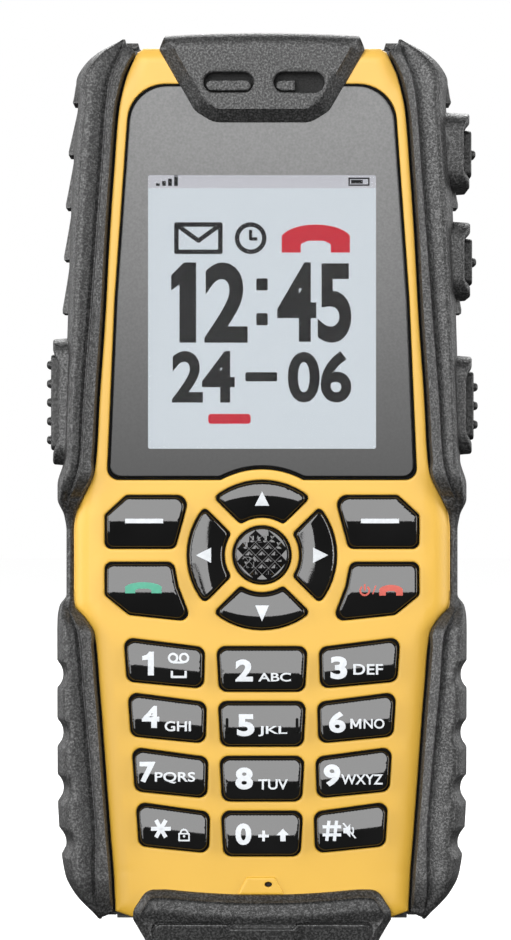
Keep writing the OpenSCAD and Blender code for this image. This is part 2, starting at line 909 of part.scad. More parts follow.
// The off-centre weight hangs below its shaft
module motor_weight() {
    color("dimgray")
    union() {
        translate([motor_x[1] - 1.8, motor_y, motor_z])
            rotate([0, 90, 0])
                cylinder(r = 0.4, h = 5.3);
        translate([motor_x[1] + 0.5, motor_y, motor_z])
            rotate([0, 90, 0])
                intersection() {
                    cylinder(r = weight_r, h = 3);
                    translate([-0.8, -weight_r, 0])
                        cube([weight_r + 0.8, 2 * weight_r, 3]);
                }
    }
}

module antenna() {
    color("darkkhaki")
    difference() {
        block([-10.6, 4.8, core_bottom + 1.5], [10.6, rear_pocket_y - 0.1, 14.7]);
        block([-9.4, 4.7, core_bottom + 2.7], [9.4, rear_pocket_y - 1.2, 13.5]);
    }
}

module usb_socket() {
    color("silver")
    difference() {
        union() {
            block([usb_x[0], usb_y[0], core_bottom], [usb_x[1], usb_y[1], socket_top]);
            block([usb_x[0], -board_back, socket_foot], [usb_x[1], usb_y[0] + eps, socket_top]);
        }
        block([usb_x[0] + 0.35, usb_y[0] + 0.35, core_bottom - eps],
              [usb_x[1] - 0.35, usb_y[1] - 0.35, socket_top - 0.6]);
    }
}

module audio_socket() {
    color("#2a2a2a")
    difference() {
        union() {
            block([jack_x - 3, socket_y, core_bottom], [jack_x + 3, jack_end_y, jack_top]);
            block([jack_x - 3, -board_back, socket_foot], [jack_x + 3, socket_y + eps, jack_top]);
        }
        translate([jack_x, -jack_y, core_bottom - eps])
            cylinder(r = jack_r, h = jack_depth + eps);
    }
}

// ---------- covers that open ----------

// Rubber cover of the sockets: a plate on a round edge that it turns about
module connector_cover() {
    color("#2f2f31")
    union() {
        block([-flap_half, -flap_front, flap_z[0]], [flap_half, hinge_y, flap_z[1]]);
        translate([-flap_half, hinge_y, hinge_z])
            rotate([0, 90, 0])
                cylinder(r = hinge_r, h = 2 * flap_half);
    }
}

module battery_cover() {
    color("#3a3a3c")
    difference() {
        block([-recess_half + cover_gap, cover_y[0], recess_z[0] + cover_gap],
              [recess_half - cover_gap, cover_y[1], recess_z[1] - cover_gap]);
        both_sides()
            rod(lock_x, lock_z, lock_r + 0.06, cover_y[0] - eps, cover_y[1] + eps);
        for (k = [0:5])
            block([-10, cover_y[1] - 0.5, 34 + 3 * k], [10, cover_y[1] + eps, 35.4 + 3 * k]);
    }
}

// Quarter-turn lock with a coin slot in its head and a tab behind the cover
module cover_lock(side) {
    color("silver")
    difference() {
        union() {
            rod(side * lock_x, lock_z, lock_r, cover_y[0] + 0.1, cover_y[1] - 0.2);
            rod(side * lock_x, lock_z, 1.4, 7, cover_y[0] + 0.2);
            block([side * lock_x - 2.4, 7, lock_z - 0.7], [side * lock_x + 2.4, 8, lock_z + 0.7]);
        }
        block([side * lock_x - 2.5, cover_y[1] - 0.9, lock_z - 0.45],
              [side * lock_x + 2.5, cover_y[1], lock_z + 0.45]);
    }
}

module cover_lock_left() { cover_lock(-1); }
module cover_lock_right() { cover_lock(1); }

module battery() {
    color("#20242c")
    difference() {
        block([-battery_half, battery_y[0], battery_z0], [battery_half, battery_y[1], battery_z1]);
        for (x = [-2.5, 0, 2.5])
            block([x - 0.7, battery_y[0] - eps, contact_z[0] + 0.2],
                  [x + 0.7, battery_y[0] + 0.15, contact_z[1] - 0.2]);
    }
}

front_cover();
rear_cover();
grip_left();
grip_right();
earpiece_guard();
bottom_bumper();
display_lens();
lens_gasket();
lcd_panel();
lcd_frame();
keypad_mat();
dome_sheet();
main_board();
shield_cans();
housing_screws();
earpiece();
loudspeaker();
speaker_grille();
microphone();
motor_can();
motor_weight();
antenna();
usb_socket();
audio_socket();
housing_gasket();
camera_module();
camera_window();
sim_holder();
battery_contacts();
side_key_boards();
key_soft_left();
key_soft_right();
key_call();
key_end();
key_up();
key_down();
key_left();
key_right();
key_centre();
key_1();
key_2();
key_3();
key_4();
key_5();
key_6();
key_7();
key_8();
key_9();
key_star();
key_0();
key_hash();
side_key_left();
side_key_upper();
side_key_middle();
side_key_lower();
connector_cover();
battery_cover();
cover_lock_left();
cover_lock_right();
battery();
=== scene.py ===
"""Looks of the rugged mobile phone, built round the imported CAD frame."""

import json
import math

import bmesh
import bpy
import numpy as np
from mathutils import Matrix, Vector, geometry


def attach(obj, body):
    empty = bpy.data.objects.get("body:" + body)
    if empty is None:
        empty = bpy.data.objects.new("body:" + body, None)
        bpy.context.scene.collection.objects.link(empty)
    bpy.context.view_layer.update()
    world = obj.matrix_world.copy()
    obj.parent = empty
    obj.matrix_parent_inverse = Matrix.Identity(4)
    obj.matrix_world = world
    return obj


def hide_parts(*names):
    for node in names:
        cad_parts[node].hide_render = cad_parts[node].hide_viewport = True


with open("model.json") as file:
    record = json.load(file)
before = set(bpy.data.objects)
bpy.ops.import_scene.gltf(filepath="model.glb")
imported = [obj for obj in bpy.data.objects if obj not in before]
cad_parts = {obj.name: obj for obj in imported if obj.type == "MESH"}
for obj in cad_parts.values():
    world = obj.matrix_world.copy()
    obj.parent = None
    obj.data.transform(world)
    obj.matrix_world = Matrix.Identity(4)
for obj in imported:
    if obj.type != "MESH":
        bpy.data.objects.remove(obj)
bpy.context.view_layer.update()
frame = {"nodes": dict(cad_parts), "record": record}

MM = 0.001
scene = bpy.context.scene

# ---------- camera, light and stage ----------

CAMERA_AT = (-0.86, -698.0, 62.5)
MIDDLE = (0, 0, 60)
# centre, target, width and height in millimetres, then radiance
SOFTBOXES = {
    # stands upright in front, above and to the left of the lens axis
    "main": ((-375, -1200, 560), (-375, 0, 560), 1250, 1110, 7.5),
    "rear": ((0, 950, 1000), MIDDLE, 1400, 800, 5.5),
    "rear_left": ((-900, 850, 300), MIDDLE, 500, 800, 2.8),
    "rear_right": ((900, 850, 300), MIDDLE, 500, 800, 2.8),
    "low": ((-600, -1200, -125), (-600, 0, -125), 800, 240, 5),
    "left": ((-1100, -330, 300), MIDDLE, 500, 900, 9),
    "right": ((1100, -330, 300), MIDDLE, 500, 900, 9),
    "back": ((0, 700, 900), MIDDLE, 900, 500, 4),
}
FLOOR_PAPER = {
    "Base Color": (0.3, 0.3, 0.3, 1), "Roughness": 1, "Specular IOR Level": 0,
    "Emission Color": (1, 1, 1, 1), "Emission Strength": 0.97,
}


def add_camera():
    data = bpy.data.cameras.new("camera")
    data.lens = 200
    data.sensor_fit = "VERTICAL"
    data.sensor_height = 36
    data.clip_start = 0.01
    data.clip_end = 20
    camera = bpy.data.objects.new("camera", data)
    camera.location = [v * MM for v in CAMERA_AT]
    camera.rotation_euler = (math.radians(90), 0, 0)
    scene.collection.objects.link(camera)
    scene.camera = camera


def add_lights():
    for name, (centre, target, width, height, radiance) in SOFTBOXES.items():
        data = bpy.data.lights.new("softbox_" + name, "AREA")
        data.shape = "RECTANGLE"
        data.size = width * MM
        data.size_y = height * MM
        data.energy = radiance * math.pi * data.size * data.size_y
        light = bpy.data.objects.new("softbox_" + name, data)
        light.location = [v * MM for v in centre]
        look = Vector(target) - Vector(centre)
        light.rotation_euler = look.to_track_quat("-Z", "Y").to_euler()
        light.visible_camera = False
        scene.collection.objects.link(light)


def add_stage():
    world = bpy.data.worlds.new("studio")
    scene.world = world
    world.use_nodes = True
    nodes, links = world.node_tree.nodes, world.node_tree.links
    background = nodes["Background"]
    path = nodes.new("ShaderNodeLightPath")
    mix = nodes.new("ShaderNodeMix")
    mix.data_type = "RGBA"
    mix.inputs["A"].default_value = (0.035, 0.035, 0.035, 1)
    mix.inputs["B"].default_value = (1, 1, 1, 1)
    links.new(path.outputs["Is Camera Ray"], mix.inputs["Factor"])
    links.new(mix.outputs["Result"], background.inputs["Color"])
    mesh = bpy.data.meshes.new("floor")
    mesh.from_pydata([(-3, -3, 0), (3, -3, 0), (3, 3, 0), (-3, 3, 0)], [], [(0, 1, 2, 3)])
    floor = bpy.data.objects.new("floor", mesh)
    scene.collection.objects.link(floor)
    material = bpy.data.materials.new("floor_paper")
    material.use_nodes = True
    shader = material.node_tree.nodes["Principled BSDF"]
    for key, value in FLOOR_PAPER.items():
        shader.inputs[key].default_value = value
    mesh.materials.append(material)
    floor.visible_glossy = False
    floor.visible_diffuse = False
    floor.visible_shadow = False


# ---------- materials ----------


M = {}


class Nodes:
    """Short calls for building one procedural material in object space."""

    def __init__(self, name):
        M[name] = material = bpy.data.materials.new(name)
        material.use_nodes = True
        self.tree = material.node_tree
        self.shader = self.tree.nodes["Principled BSDF"]
        coordinates = self.tree.nodes.new("ShaderNodeTexCoord")
        self.object = coordinates.outputs["Object"]

    def add(self, kind, **settings):
        node = self.tree.nodes.new("ShaderNode" + kind)
        for key, value in settings.items():
            setattr(node, key, value)
        return node

    def link(self, a, b):
        self.tree.links.new(a, b)

    def feed(self, node, **values):
        """Puts a number, a colour or another node's output on each named socket."""
        for key, value in values.items():
            socket = node.inputs[key.replace("_", " ")]
            if isinstance(value, (int, float)):
                socket.default_value = value
            elif isinstance(value, tuple):
                socket.default_value = value + (1,) * (len(socket.default_value) - len(value))
            else:
                self.link(value, socket)
        return node

    def noise(self, size_mm, detail=2.0, rough=0.5, vector=None):
        node = self.add("TexNoise")
        vector = self.object if vector is None else vector
        self.feed(node, Scale=1 / (size_mm * MM), Detail=detail, Roughness=rough, Vector=vector)
        return node.outputs["Fac"]

    def ramp(self, source, stops):
        node = self.add("ValToRGB")
        elements = node.color_ramp.elements
        while len(elements) < len(stops):
            elements.new(0.5)
        for element, (at, colour) in zip(elements, stops):
            element.position = at
            element.color = tuple(colour) + (1,)
        self.link(source, node.inputs["Fac"])
        return node.outputs["Color"]

    def span(self, source, a0, a1, b0, b1):
        node = self.feed(self.add("MapRange"), From_Min=a0, From_Max=a1, To_Min=b0, To_Max=b1, Value=source)
        return node.outputs["Result"]

    def height(self):
        return self.feed(self.add("SeparateXYZ"), Vector=self.object).outputs["Z"]

    def mix(self, factor, a, b):
        return self.feed(self.add("Mix", data_type="RGBA"), Factor=factor, A=a, B=b).outputs["Result"]

    def bump(self, source, strength, distance_mm):
        node = self.feed(self.add("Bump"), Strength=strength, Distance=distance_mm * MM, Height=source)
        return node.outputs["Normal"]

    def set(self, **values):
        self.feed(self.shader, **values)


def grey(value):
    return (value, value, value)


def rubber(name, dark, light, size, rough):
    """Moulded rubber with a fine spark-eroded grain and paler specks."""
    n = Nodes(name)
    grain = n.noise(size, 3, 0.6)
    patch = n.noise(6)
    speck = n.ramp(grain, [(0.42, grey(dark)), (0.52, grey((dark + light) / 3)), (0.62, grey(light))])
    n.set(
        Base_Color=n.mix(n.span(patch, 0.3, 0.7, 0, 0.12), speck, grey(light * 0.6)),
        Roughness=n.span(grain, 0.3, 0.7, rough + 0.2, rough - 0.13),
        Specular_IOR_Level=0.5,
        Normal=n.bump(grain, 0.75, 0.09),
    )


def plastic(name, colour, shade, rough, grain_mm=0.12, bump=0.1, coat=0.0, specular=0.5):
    """Moulded plastic: slight drift of colour, fine grain in the gloss and the surface."""
    n = Nodes(name)
    grain = n.noise(grain_mm, 2)
    drift = n.noise(9, 2)
    n.set(
        Base_Color=n.mix(n.span(drift, 0.3, 0.7, 0, 1), colour, shade),
        Roughness=n.span(grain, 0.3, 0.7, rough * 0.85, rough * 1.15),
        Coat_Weight=coat,
        Coat_Roughness=0.08,
        Specular_IOR_Level=specular,
        Normal=n.bump(grain, bump, 0.02),
    )


def yellow_plastic():
    n = Nodes("yellow_plastic")
    grain = n.noise(0.14, 2)
    drift = n.noise(14, 2)
    # painted shade: the yellow is mixed darker towards the bottom of the phone (height 0 to 120 mm), for the
    # light falling off below; the drift after it is the plastic's own
    low = n.span(n.height(), 0.0, 0.12, 1, 0)
    painted_shade_tone = n.mix(low, (0.6, 0.36, 0.07), (0.46, 0.268, 0.026))
    n.set(
        Base_Color=n.mix(n.span(drift, 0.35, 0.65, 0, 0.15), painted_shade_tone, (0.6, 0.36, 0.05)),
        Roughness=n.span(grain, 0.3, 0.7, 0.4, 0.5),
        Specular_IOR_Level=0.35,
        Normal=n.bump(grain, 0.1, 0.02),
    )


def metal(name, colour, rough):
    """Metal with fine rolling marks along Z."""
    n = Nodes(name)
    stretch = n.feed(n.add("Mapping"), Scale=(1, 1, 0.06), Vector=n.object)
    marks = n.noise(0.4, 3, 0.5, stretch.outputs["Vector"])
    n.set(
        Base_Color=n.mix(n.span(marks, 0.3, 0.7, 0, 0.35), colour, grey(0.25)),
        Metallic=1.0,
        Roughness=n.span(marks, 0.3, 0.7, rough * 0.8, rough * 1.3),
        Normal=n.bump(marks, 0.08, 0.01),
    )


def lens_print_painted_reflection():
    """Grey print behind the glass, with a painted reflection: lighter at the top and darker towards the
    keypad, as a softbox's reflection fades.
    """
    n = Nodes("lens_print_painted_reflection")
    # painted reflection: the grey brightens with height, standing in for the softbox's reflection in the
    # glossy lens
    painted_reflection_fade = n.span(n.height(), 0.061, 0.113, 0, 1)
    shade = n.ramp(painted_reflection_fade, [(0, grey(0.005)), (0.25, grey(0.035)), (0.5, grey(0.075)), (1, grey(0.14))])
    fleck = n.noise(0.3)
    colour = n.mix(n.span(fleck, 0.3, 0.7, 0, 0.25), shade, grey(0.0))
    n.set(Base_Color=colour, Roughness=n.span(fleck, 0.3, 0.7, 0.03, 0.06), IOR=1.28)


def window_glass():
    n = Nodes("window_glass")
    haze = n.noise(3, 2)
    n.set(
        Base_Color=(0.98, 0.99, 1.0),
        Transmission_Weight=1.0,
        IOR=1.06,
        Roughness=n.span(haze, 0.3, 0.7, 0.0, 0.012),
    )


def display_panel(name, colour):
    """Lit pixels: a faint grid over an even glow."""
    n = Nodes(name)
    grid = n.feed(n.add("TexChecker"), Scale=1 / (0.17 * MM), Vector=n.object)
    glow = n.mix(n.span(grid.outputs["Fac"], 0, 1, 0, 0.04), colour, grey(0.3))
    n.set(
        Base_Color=grey(0.004), Emission_Color=glow, Emission_Strength=1.0,
        Roughness=0.5, Specular_IOR_Level=0.05,
    )


def printed(name, colour):
    """Ink: nearly even, with a slight mottle."""
    n = Nodes(name)
    mottle = n.noise(0.5)
    shade = tuple(v * 0.9 for v in colour)
    n.set(Base_Color=n.mix(n.span(mottle, 0.35, 0.65, 0, 1), colour, shade), Roughness=0.5)


def circuit_board():
    n = Nodes("circuit_board")
    turn = n.feed(n.add("Mapping"), Rotation=(math.radians(90), 0, 0), Vector=n.object)
    tracks = n.feed(
        n.add("TexBrick"), Scale=260, Color1=(0.012, 0.09, 0.035), Color2=(0.016, 0.12, 0.05),
        Mortar=(0.03, 0.2, 0.08), Mortar_Size=0.03, Vector=turn.outputs["Vector"],
    )
    n.set(Base_Color=tracks.outputs["Color"], Roughness=0.35, Normal=n.bump(tracks.outputs["Fac"], 0.2, 0.02))


def build_materials():
    yellow_plastic()
    rubber("black_rubber", 0.0005, 0.055, 0.27, 0.44)
    # painted light: a paler copy of the black rubber, for the side light falling on the grips' ribs
    rubber("side_rib_painted_light", 0.015, 0.05, 0.3, 0.45)
    rubber("side_key_rubber", 0.001, 0.018, 0.3, 0.44)
    plastic("seal_rubber", grey(0.001), grey(0.002), 0.8, 0.2, 0.1, 0.0, 0.1)
    plastic("dark_plastic", grey(0.02), grey(0.03), 0.42, 0.2, 0.5)
    plastic("key_plastic", grey(0.004), grey(0.006), 0.045, 0.16, 0.05)
    # painted shade: a near-black matte floor that stands for the shade inside the guard's slots and the
    # microphone hole
    plastic("slot_floor_painted_shade", grey(0.001), grey(0.002), 0.8, 0.2, 0.1)
    lens_print_painted_reflection()
    window_glass()
    display_panel("display", (0.61, 0.66, 0.70))
    display_panel("display_band", (0.52, 0.52, 0.56))
    display_panel("display_dark", (0.006, 0.006, 0.007))
    display_panel("display_red", (0.55, 0.012, 0.03))
    metal("steel", grey(0.6), 0.3)
    metal("gold", (0.9, 0.62, 0.25), 0.25)
    metal("tungsten", grey(0.35), 0.45)
    plastic("silicone", grey(0.02), grey(0.03), 0.6)
    circuit_board()
    plastic("module_plastic", grey(0.02), grey(0.03), 0.45)
    plastic("antenna_carrier", (0.32, 0.28, 0.18), (0.36, 0.31, 0.2), 0.5)
    plastic("camera_glass", grey(0.002), grey(0.004), 0.04, 0.4, 0.01, 1.0)
    plastic("battery_skin", (0.02, 0.026, 0.04), (0.026, 0.032, 0.05), 0.4)
    printed("white_ink", (0.47, 0.49, 0.51))
    printed("green_ink", (0.025, 0.24, 0.15))
    printed("red_ink", (0.4, 0.05, 0.03))
    # the lens slot takes the grey print with its painted reflection
    M["lens_glass"] = M["lens_print_painted_reflection"]


# ---------- plane geometry, in millimetres ----------


def unit(v):
    return v / np.linalg.norm(v)


def rounded(points, radii, steps=7, fixed=False):
    """The outline with every corner rounded by its radius; fixed gives every corner as many points."""
    points = np.array(points, float)
    count = len(points)
    if np.isscalar(radii):
        radii = [radii] * count
    out = []
    for i, p in enumerate(points):
        u = unit(points[i - 1] - p)
        v = unit(points[(i + 1) % count] - p)
        r = radii[i]
        half = math.acos(max(-1, min(1, float(u @ v)))) / 2
        if fixed:
            r, half = max(r, 0.01), min(half, 1.5)
        elif r < 0.02 or half > 1.56:
            out.append(p)
            continue
        bisector = u + v if np.linalg.norm(u + v) > 1e-9 else np.array([-u[1], u[0]])
        c = p + unit(bisector) * r / math.sin(half)
        start = p + u * r / math.tan(half) - c
        end = p + v * r / math.tan(half) - c
        a0, a1 = math.atan2(start[1], start[0]), math.atan2(end[1], end[0])
        turn = (a1 - a0 + 3 * math.pi) % (2 * math.pi) - math.pi
        for k in range(steps + 1):
            a = a0 + turn * k / steps
            out.append(c + r * np.array([math.cos(a), math.sin(a)]))
    return np.array(out)


def inset(points, d):
    """The outline with every edge moved inward by d."""
    p = np.array(points, float)
    before, after = np.roll(p, 1, 0), np.roll(p, -1, 0)
    sense = np.sign((p[:, 0] * after[:, 1] - p[:, 1] * after[:, 0]).sum())
    e0 = (p - before) / np.linalg.norm(p - before, axis=1)[:, None]
    e1 = (after - p) / np.linalg.norm(after - p, axis=1)[:, None]
    n0 = sense * np.stack([-e0[:, 1], e0[:, 0]], 1)
    n1 = sense * np.stack([-e1[:, 1], e1[:, 0]], 1)
    return p + d * (n0 + n1) / (1 + (n0 * n1).sum(1))[:, None]


def mirrored(points):
    return (np.array(points, float) * [-1, 1])[::-1]


def both(half):
    """A whole outline from its right half."""
    return np.concatenate([half, mirrored(half)])


def circle(x, z, r, steps=48, rz=None):
    a = np.arange(steps) * 2 * math.pi / steps
    return np.stack([x + r * np.cos(a), z + (rz or r) * np.sin(a)], 1)


def pill(x0, x1, z, r, steps=14):
    """A slot with round ends from x0 to x1."""
    a = np.linspace(-90, 90, steps) * math.pi / 180
    right = np.stack([x1 - r + r * np.cos(a), z + r * np.sin(a)], 1)
    left = np.stack([x0 + r - r * np.cos(a), z - r * np.sin(a)], 1)
    return np.concatenate([right, left])


def box_outline(x0, z0, x1, z1, r=0.0):
    return rounded([[x0, z0], [x1, z0], [x1, z1], [x0, z1]], r)


def resample(loop, step):
    """The closed outline with no edge longer than step."""
    out = []
    for p, q in zip(loop, np.roll(loop, -1, 0)):
        n = max(1, int(math.ceil(np.linalg.norm(q - p) / step)))
        out.extend(p + (q - p) * k / n for k in range(n))
    return np.array(out)


def distance(points, loop, closed=True):
    """Distance of each point to an outline."""
    a = loop if closed else loop[:-1]
    b = np.roll(loop, -1, 0) if closed else loop[1:]
    ab = b - a
    length2 = np.maximum((ab ** 2).sum(1), 1e-12)
    out = np.empty(len(points))
    for i in range(0, len(points), 1500):
        p = points[i:i + 1500, None, :]
        t = np.clip(((p - a) * ab).sum(2) / length2, 0, 1)
        out[i:i + 1500] = np.sqrt(((p - a - t[..., None] * ab) ** 2).sum(2).min(1))
    return out


def inside(points, loops):
    """Whether each point is inside an odd number of outlines."""
    odd = np.zeros(len(points), bool)
    for a in loops:
        b = np.roll(a, -1, 0)
        for i in range(0, len(points), 1500):
            x, z = points[i:i + 1500, 0:1], points[i:i + 1500, 1:2]
            span = (a[:, 1] > z) != (b[:, 1] > z)
            with np.errstate(divide="ignore", invalid="ignore"):
                cut = a[:, 0] + (z - a[:, 1]) * (b[:, 0] - a[:, 0]) / (b[:, 1] - a[:, 1])
            odd[i:i + 1500] ^= ((span & (x < cut)).sum(1) % 2).astype(bool)
    return odd


def fill(loops, extra=()):
    """Triangles between the outlines: (points, triangles, output index of each loop point)."""
    points = [tuple(p) for loop in loops for p in loop]
    edges, start = [], 0
    for loop in loops:
        n = len(loop)
        edges += [(start + i, start + (i + 1) % n) for i in range(n)]
        start += n
    count = len(points)
    points += [tuple(p) for p in extra]
    found = geometry.delaunay_2d_cdt([Vector(p) for p in points], edges, [], 0, 1e-6, True)
    out = np.array([tuple(v) for v in found[0]])
    tris = np.array([f for f in found[2] if len(f) == 3])
    keep = inside(out[tris].mean(1), loops)
    index = [0] * count
    for i, sources in enumerate(found[3]):
        for s in sources:
            if s < count:
                index[s] = i
    return out, tris[keep], index


def pchip(xs, ys):
    """Smooth curve through a profile's rows that doesn't overshoot."""
    xs, ys = np.array(xs, float), np.array(ys, float)
    h, m = np.diff(xs), np.diff(ys) / np.diff(xs)
    slope = np.zeros(len(xs))
    slope[0], slope[-1] = m[0], m[-1]
    for i in range(1, len(xs) - 1):
        if m[i - 1] * m[i] > 0:
            w1, w2 = 2 * h[i] + h[i - 1], h[i] + 2 * h[i - 1]
            slope[i] = (w1 + w2) / (w1 / m[i - 1] + w2 / m[i])

    def value(x):
        x = np.clip(x, xs[0], xs[-1])
        i = np.clip(np.searchsorted(xs, x) - 1, 0, len(h) - 1)
        t = (x - xs[i]) / h[i]
        return (
            ys[i] * (1 + 2 * t) * (1 - t) ** 2 + slope[i] * h[i] * t * (1 - t) ** 2
            + ys[i + 1] * t * t * (3 - 2 * t) + slope[i + 1] * h[i] * t * t * (t - 1)
        )

    return value


def round_edge(d, width, depth=None):
    """Drop of a rounded edge at distance d inside it."""
    t = np.clip(1 - d / width, 0, 1)
    return (depth or width) * (1 - np.sqrt(1 - t * t))


def smooth(d, a, b):
    t = np.clip((d - a) / (b - a), 0, 1)
    return t * t * (3 - 2 * t)


# ---------- building meshes ----------


def front(u, v, h):
    """Places a relief on an X-Z plane; h is its Y."""
    return np.stack([u, h, v], 1)


def top(u, v, h):
    """Places a relief on an X-Y plane; h is its Z."""
    return np.stack([u, v, h], 1)


def sideways(u, v, h):
    """Places a relief on a Z-Y plane; h is its X."""
    return np.stack([h, v, u], 1)


def relief(loops, height, back, spacing, rings, edge_step=0.3, place=front):
    """A closed solid with one shaped face; back is the place of its flat face.

    height is a number, or a function of the points and their distances to the outer outline and to the holes.
    rings are the distances from the outlines at which the face has rows of points.
    """
    loops = [resample(np.array(loop, float), edge_step) for loop in loops]
    cells, extra, cell_size = set(), [], 0.07

    def offer(candidates, least):
        if not len(candidates):
            return
        ok = inside(candidates, loops)
        candidates = candidates[ok]
        if not len(candidates):
            return
        near = np.min([distance(candidates, loop) for loop in loops], axis=0)
        for p in candidates[near >= least]:
            cell = (round(p[0] / cell_size), round(p[1] / cell_size))
            if cell not in cells:
                cells.add(cell)
                extra.append(p)

    for r in (*rings, rings[-1] + 0.1) if rings else ():
        for loop in loops:
            line = resample(loop, max(0.18, r))
            line = line if r < 0.25 else line[::2] if len(line) > 60 else line
            along = np.roll(line, -1, 0) - np.roll(line, 1, 0)
            normal = np.stack([-along[:, 1], along[:, 0]], 1)
            normal /= np.maximum(np.linalg.norm(normal, axis=1), 1e-9)[:, None]
            offer(np.concatenate([line + r * normal, line - r * normal]), 0.93 * r)
    low, high = loops[0].min(0), loops[0].max(0)
    rows = np.arange(low[1], high[1], spacing * 0.87)
    grid = [
        (x, z)
        for k, z in enumerate(rows)
        for x in np.arange(low[0] + (k % 2) * spacing / 2, high[0], spacing)
    ]
    offer(np.array(grid), (rings[-1] if rings else 0) + 0.35 * spacing)
    points, tris, index = fill(loops, extra)
    outer = distance(points, loops[0])
    holes = np.min([distance(points, loop) for loop in loops[1:]], axis=0) if len(loops) > 1 else outer + 99
    face = height(points, outer, holes) if callable(height) else np.full(len(points), height)
    raised = place(points[:, 0], points[:, 1], face)
    rim = np.concatenate(loops)
    behind = place(rim[:, 0], rim[:, 1], np.full(len(rim), float(back)))
    _, flat_tris, flat_index = fill(loops)
    of_flat = {o: i for i, o in enumerate(flat_index)}
    base = len(raised)
    faces = [tuple(t) for t in tris]
    flat_tris = [t for t in flat_tris if all(i in of_flat for i in t)]
    faces += [tuple(base + of_flat[i] for i in reversed(t)) for t in flat_tris]
    start = 0
    for loop in loops:
        n = len(loop)
        for i in range(n):
            j, k = start + i, start + (i + 1) % n
            faces.append((index[j], base + j, base + k, index[k]))
        start += n
    return np.concatenate([raised, behind]), faces


def join(*solids):
    """Several closed solids as one list of points and faces."""
    points, faces, base = [], [], 0
    for p, f in solids:
        points.append(np.array(p, float))
        faces += [tuple(base + i for i in face) for face in f]
        base += len(p)
    return np.concatenate(points), faces


def flip_x(solid):
    points, faces = solid
    return points * [-1, 1, 1], [tuple(reversed(f)) for f in faces]


def ring_faces(count, n, closed=False):
    """The quads between rings of n points, in a stack or in a closed loop."""
    steps = count if closed else count - 1
    return [
        (j * n + i, j * n + (i + 1) % n, (j + 1) % count * n + (i + 1) % n, (j + 1) % count * n + i)
        for j in range(steps)
        for i in range(n)
    ]


def rings_solid(rings):
    """A closed solid through a stack of rings that have the same number of points."""
    count, n = len(rings), len(rings[0])
    caps = [tuple(reversed(range(n))), tuple(range((count - 1) * n, count * n))]
    return np.concatenate(rings), ring_faces(count, n) + caps


def make(name, solid, material, *replaces, body="housing", slot=None, sharp=38):
    """An object from points in millimetres, shaded smooth but for its sharp edges."""
    points, faces = solid
    mesh = bpy.data.meshes.new(name)
    mesh.from_pydata([tuple(p * MM) for p in points], [], faces)
    bm = bmesh.new()
    bm.from_mesh(mesh)
    bmesh.ops.remove_doubles(bm, verts=bm.verts, dist=1e-8)
    bmesh.ops.dissolve_degenerate(bm, dist=1e-9, edges=bm.edges)
    bmesh.ops.recalc_face_normals(bm, faces=bm.faces)
    limit = math.radians(sharp)
    for face in bm.faces:
        face.smooth = True
    for edge in bm.edges:
        if len(edge.link_faces) == 2 and edge.calc_face_angle(0) > limit:
            edge.smooth = False
    bm.to_mesh(mesh)
    bm.free()
    mesh.materials.append(M[material])
    piece = bpy.data.objects.new(name, mesh)
    scene.collection.objects.link(piece)
    shade = piece.modifiers.new("even_shading", "WEIGHTED_NORMAL")
    shade.mode = "FACE_AREA"
    shade.weight = 80
    shade.keep_sharp = True
    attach(piece, body)
    if replaces:
        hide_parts(*replaces)


# ---------- the body's profile ----------

BUMPER_Y, FACE_Y, BACK_Y = 12.7, 10.8, 11.6
# height, half width of the front cover, place of the grip's ridge across and in depth, outer half width
PROFILE = [
    [3.4, 21.2, 21.4, -10.4, 21.6],
    [4.4, 19.3, 21.35, -11.1, 22.7],
    [5, 19.3, 21.4, -11.5, 23.4],
    [6.8, 19.4, 21.6, -12.3, 25],
    [9, 19.5, 21.6, -12.7, 26.1],
    [14, 19.9, 21.6, -12.7, 26.8],
    [20, 20.35, 22, -12.7, 27.1],
    [34, 21.4, 23.3, -12.7, 27.15],
    [41, 22.1, 23.9, -12.6, 27.15],
    [43, 23.3, 24.8, -11.7, 27.1],
    [44.6, 24.7, 25.5, -10.1, 26.8],
    [46, 24.8, 25.3, -9.6, 25.9],
    [54.5, 24.8, 25.3, -9.6, 25.9],
    [56.5, 24.6, 25.6, -10, 26.2],
    [58.7, 23.7, 25.4, -11.3, 27.1],
    [60, 23, 24.8, -12.2, 27.1],
    [62, 22.1, 24.1, -12.7, 27.1],
    [64, 21.8, 23.7, -12.7, 27.1],
    [72, 21.35, 23.2, -12.7, 26.9],
    [82, 20.65, 22.4, -12.7, 26.6],
    [94, 20, 21.5, -12.7, 26.25],
    [102, 19.45, 20.9, -12.7, 25.9],
    [110, 18.8, 20.3, -12.7, 25.3],
    [112.5, 18.3, 20, -12.6, 25],
    [114.5, 17.75, 19.6, -12.4, 24.5],
    [116, 17.1, 19, -12.1, 23.6],
    [117.5, 16.4, 18.4, -11.5, 22],
    [118.2, 17.1, 18.2, -11.1, 20.7],
    [119.2, 18, 18.2, -10.4, 18.5],
]
grip_inner, ridge_x, ridge_y, outer_half = (
    pchip([row[0] for row in PROFILE], [row[k] for row in PROFILE]) for k in (1, 2, 3, 4)
)
COVER_LOW, COVER_HIGH = 4.4, 117.5
face_rows = [row for row in PROFILE if COVER_LOW <= row[0] <= COVER_HIGH]
face_half = pchip([row[0] for row in face_rows], [row[1] for row in face_rows])

# width of the black joint between the yellow cover and the grips
JOINT = 0.3


def core_half(z):
    return np.maximum(face_half(z) + 0.05, outer_half(z) - 3.2)


# ---------- front cover ----------

KEY_GAP = 0.27
NAV_Z, NAV_R, NAV_INNER, NAV_CENTRE, SPOKE = 51.3, 9.9, 4.9, 3.9, 1.7
ROW_PITCH = 7.22

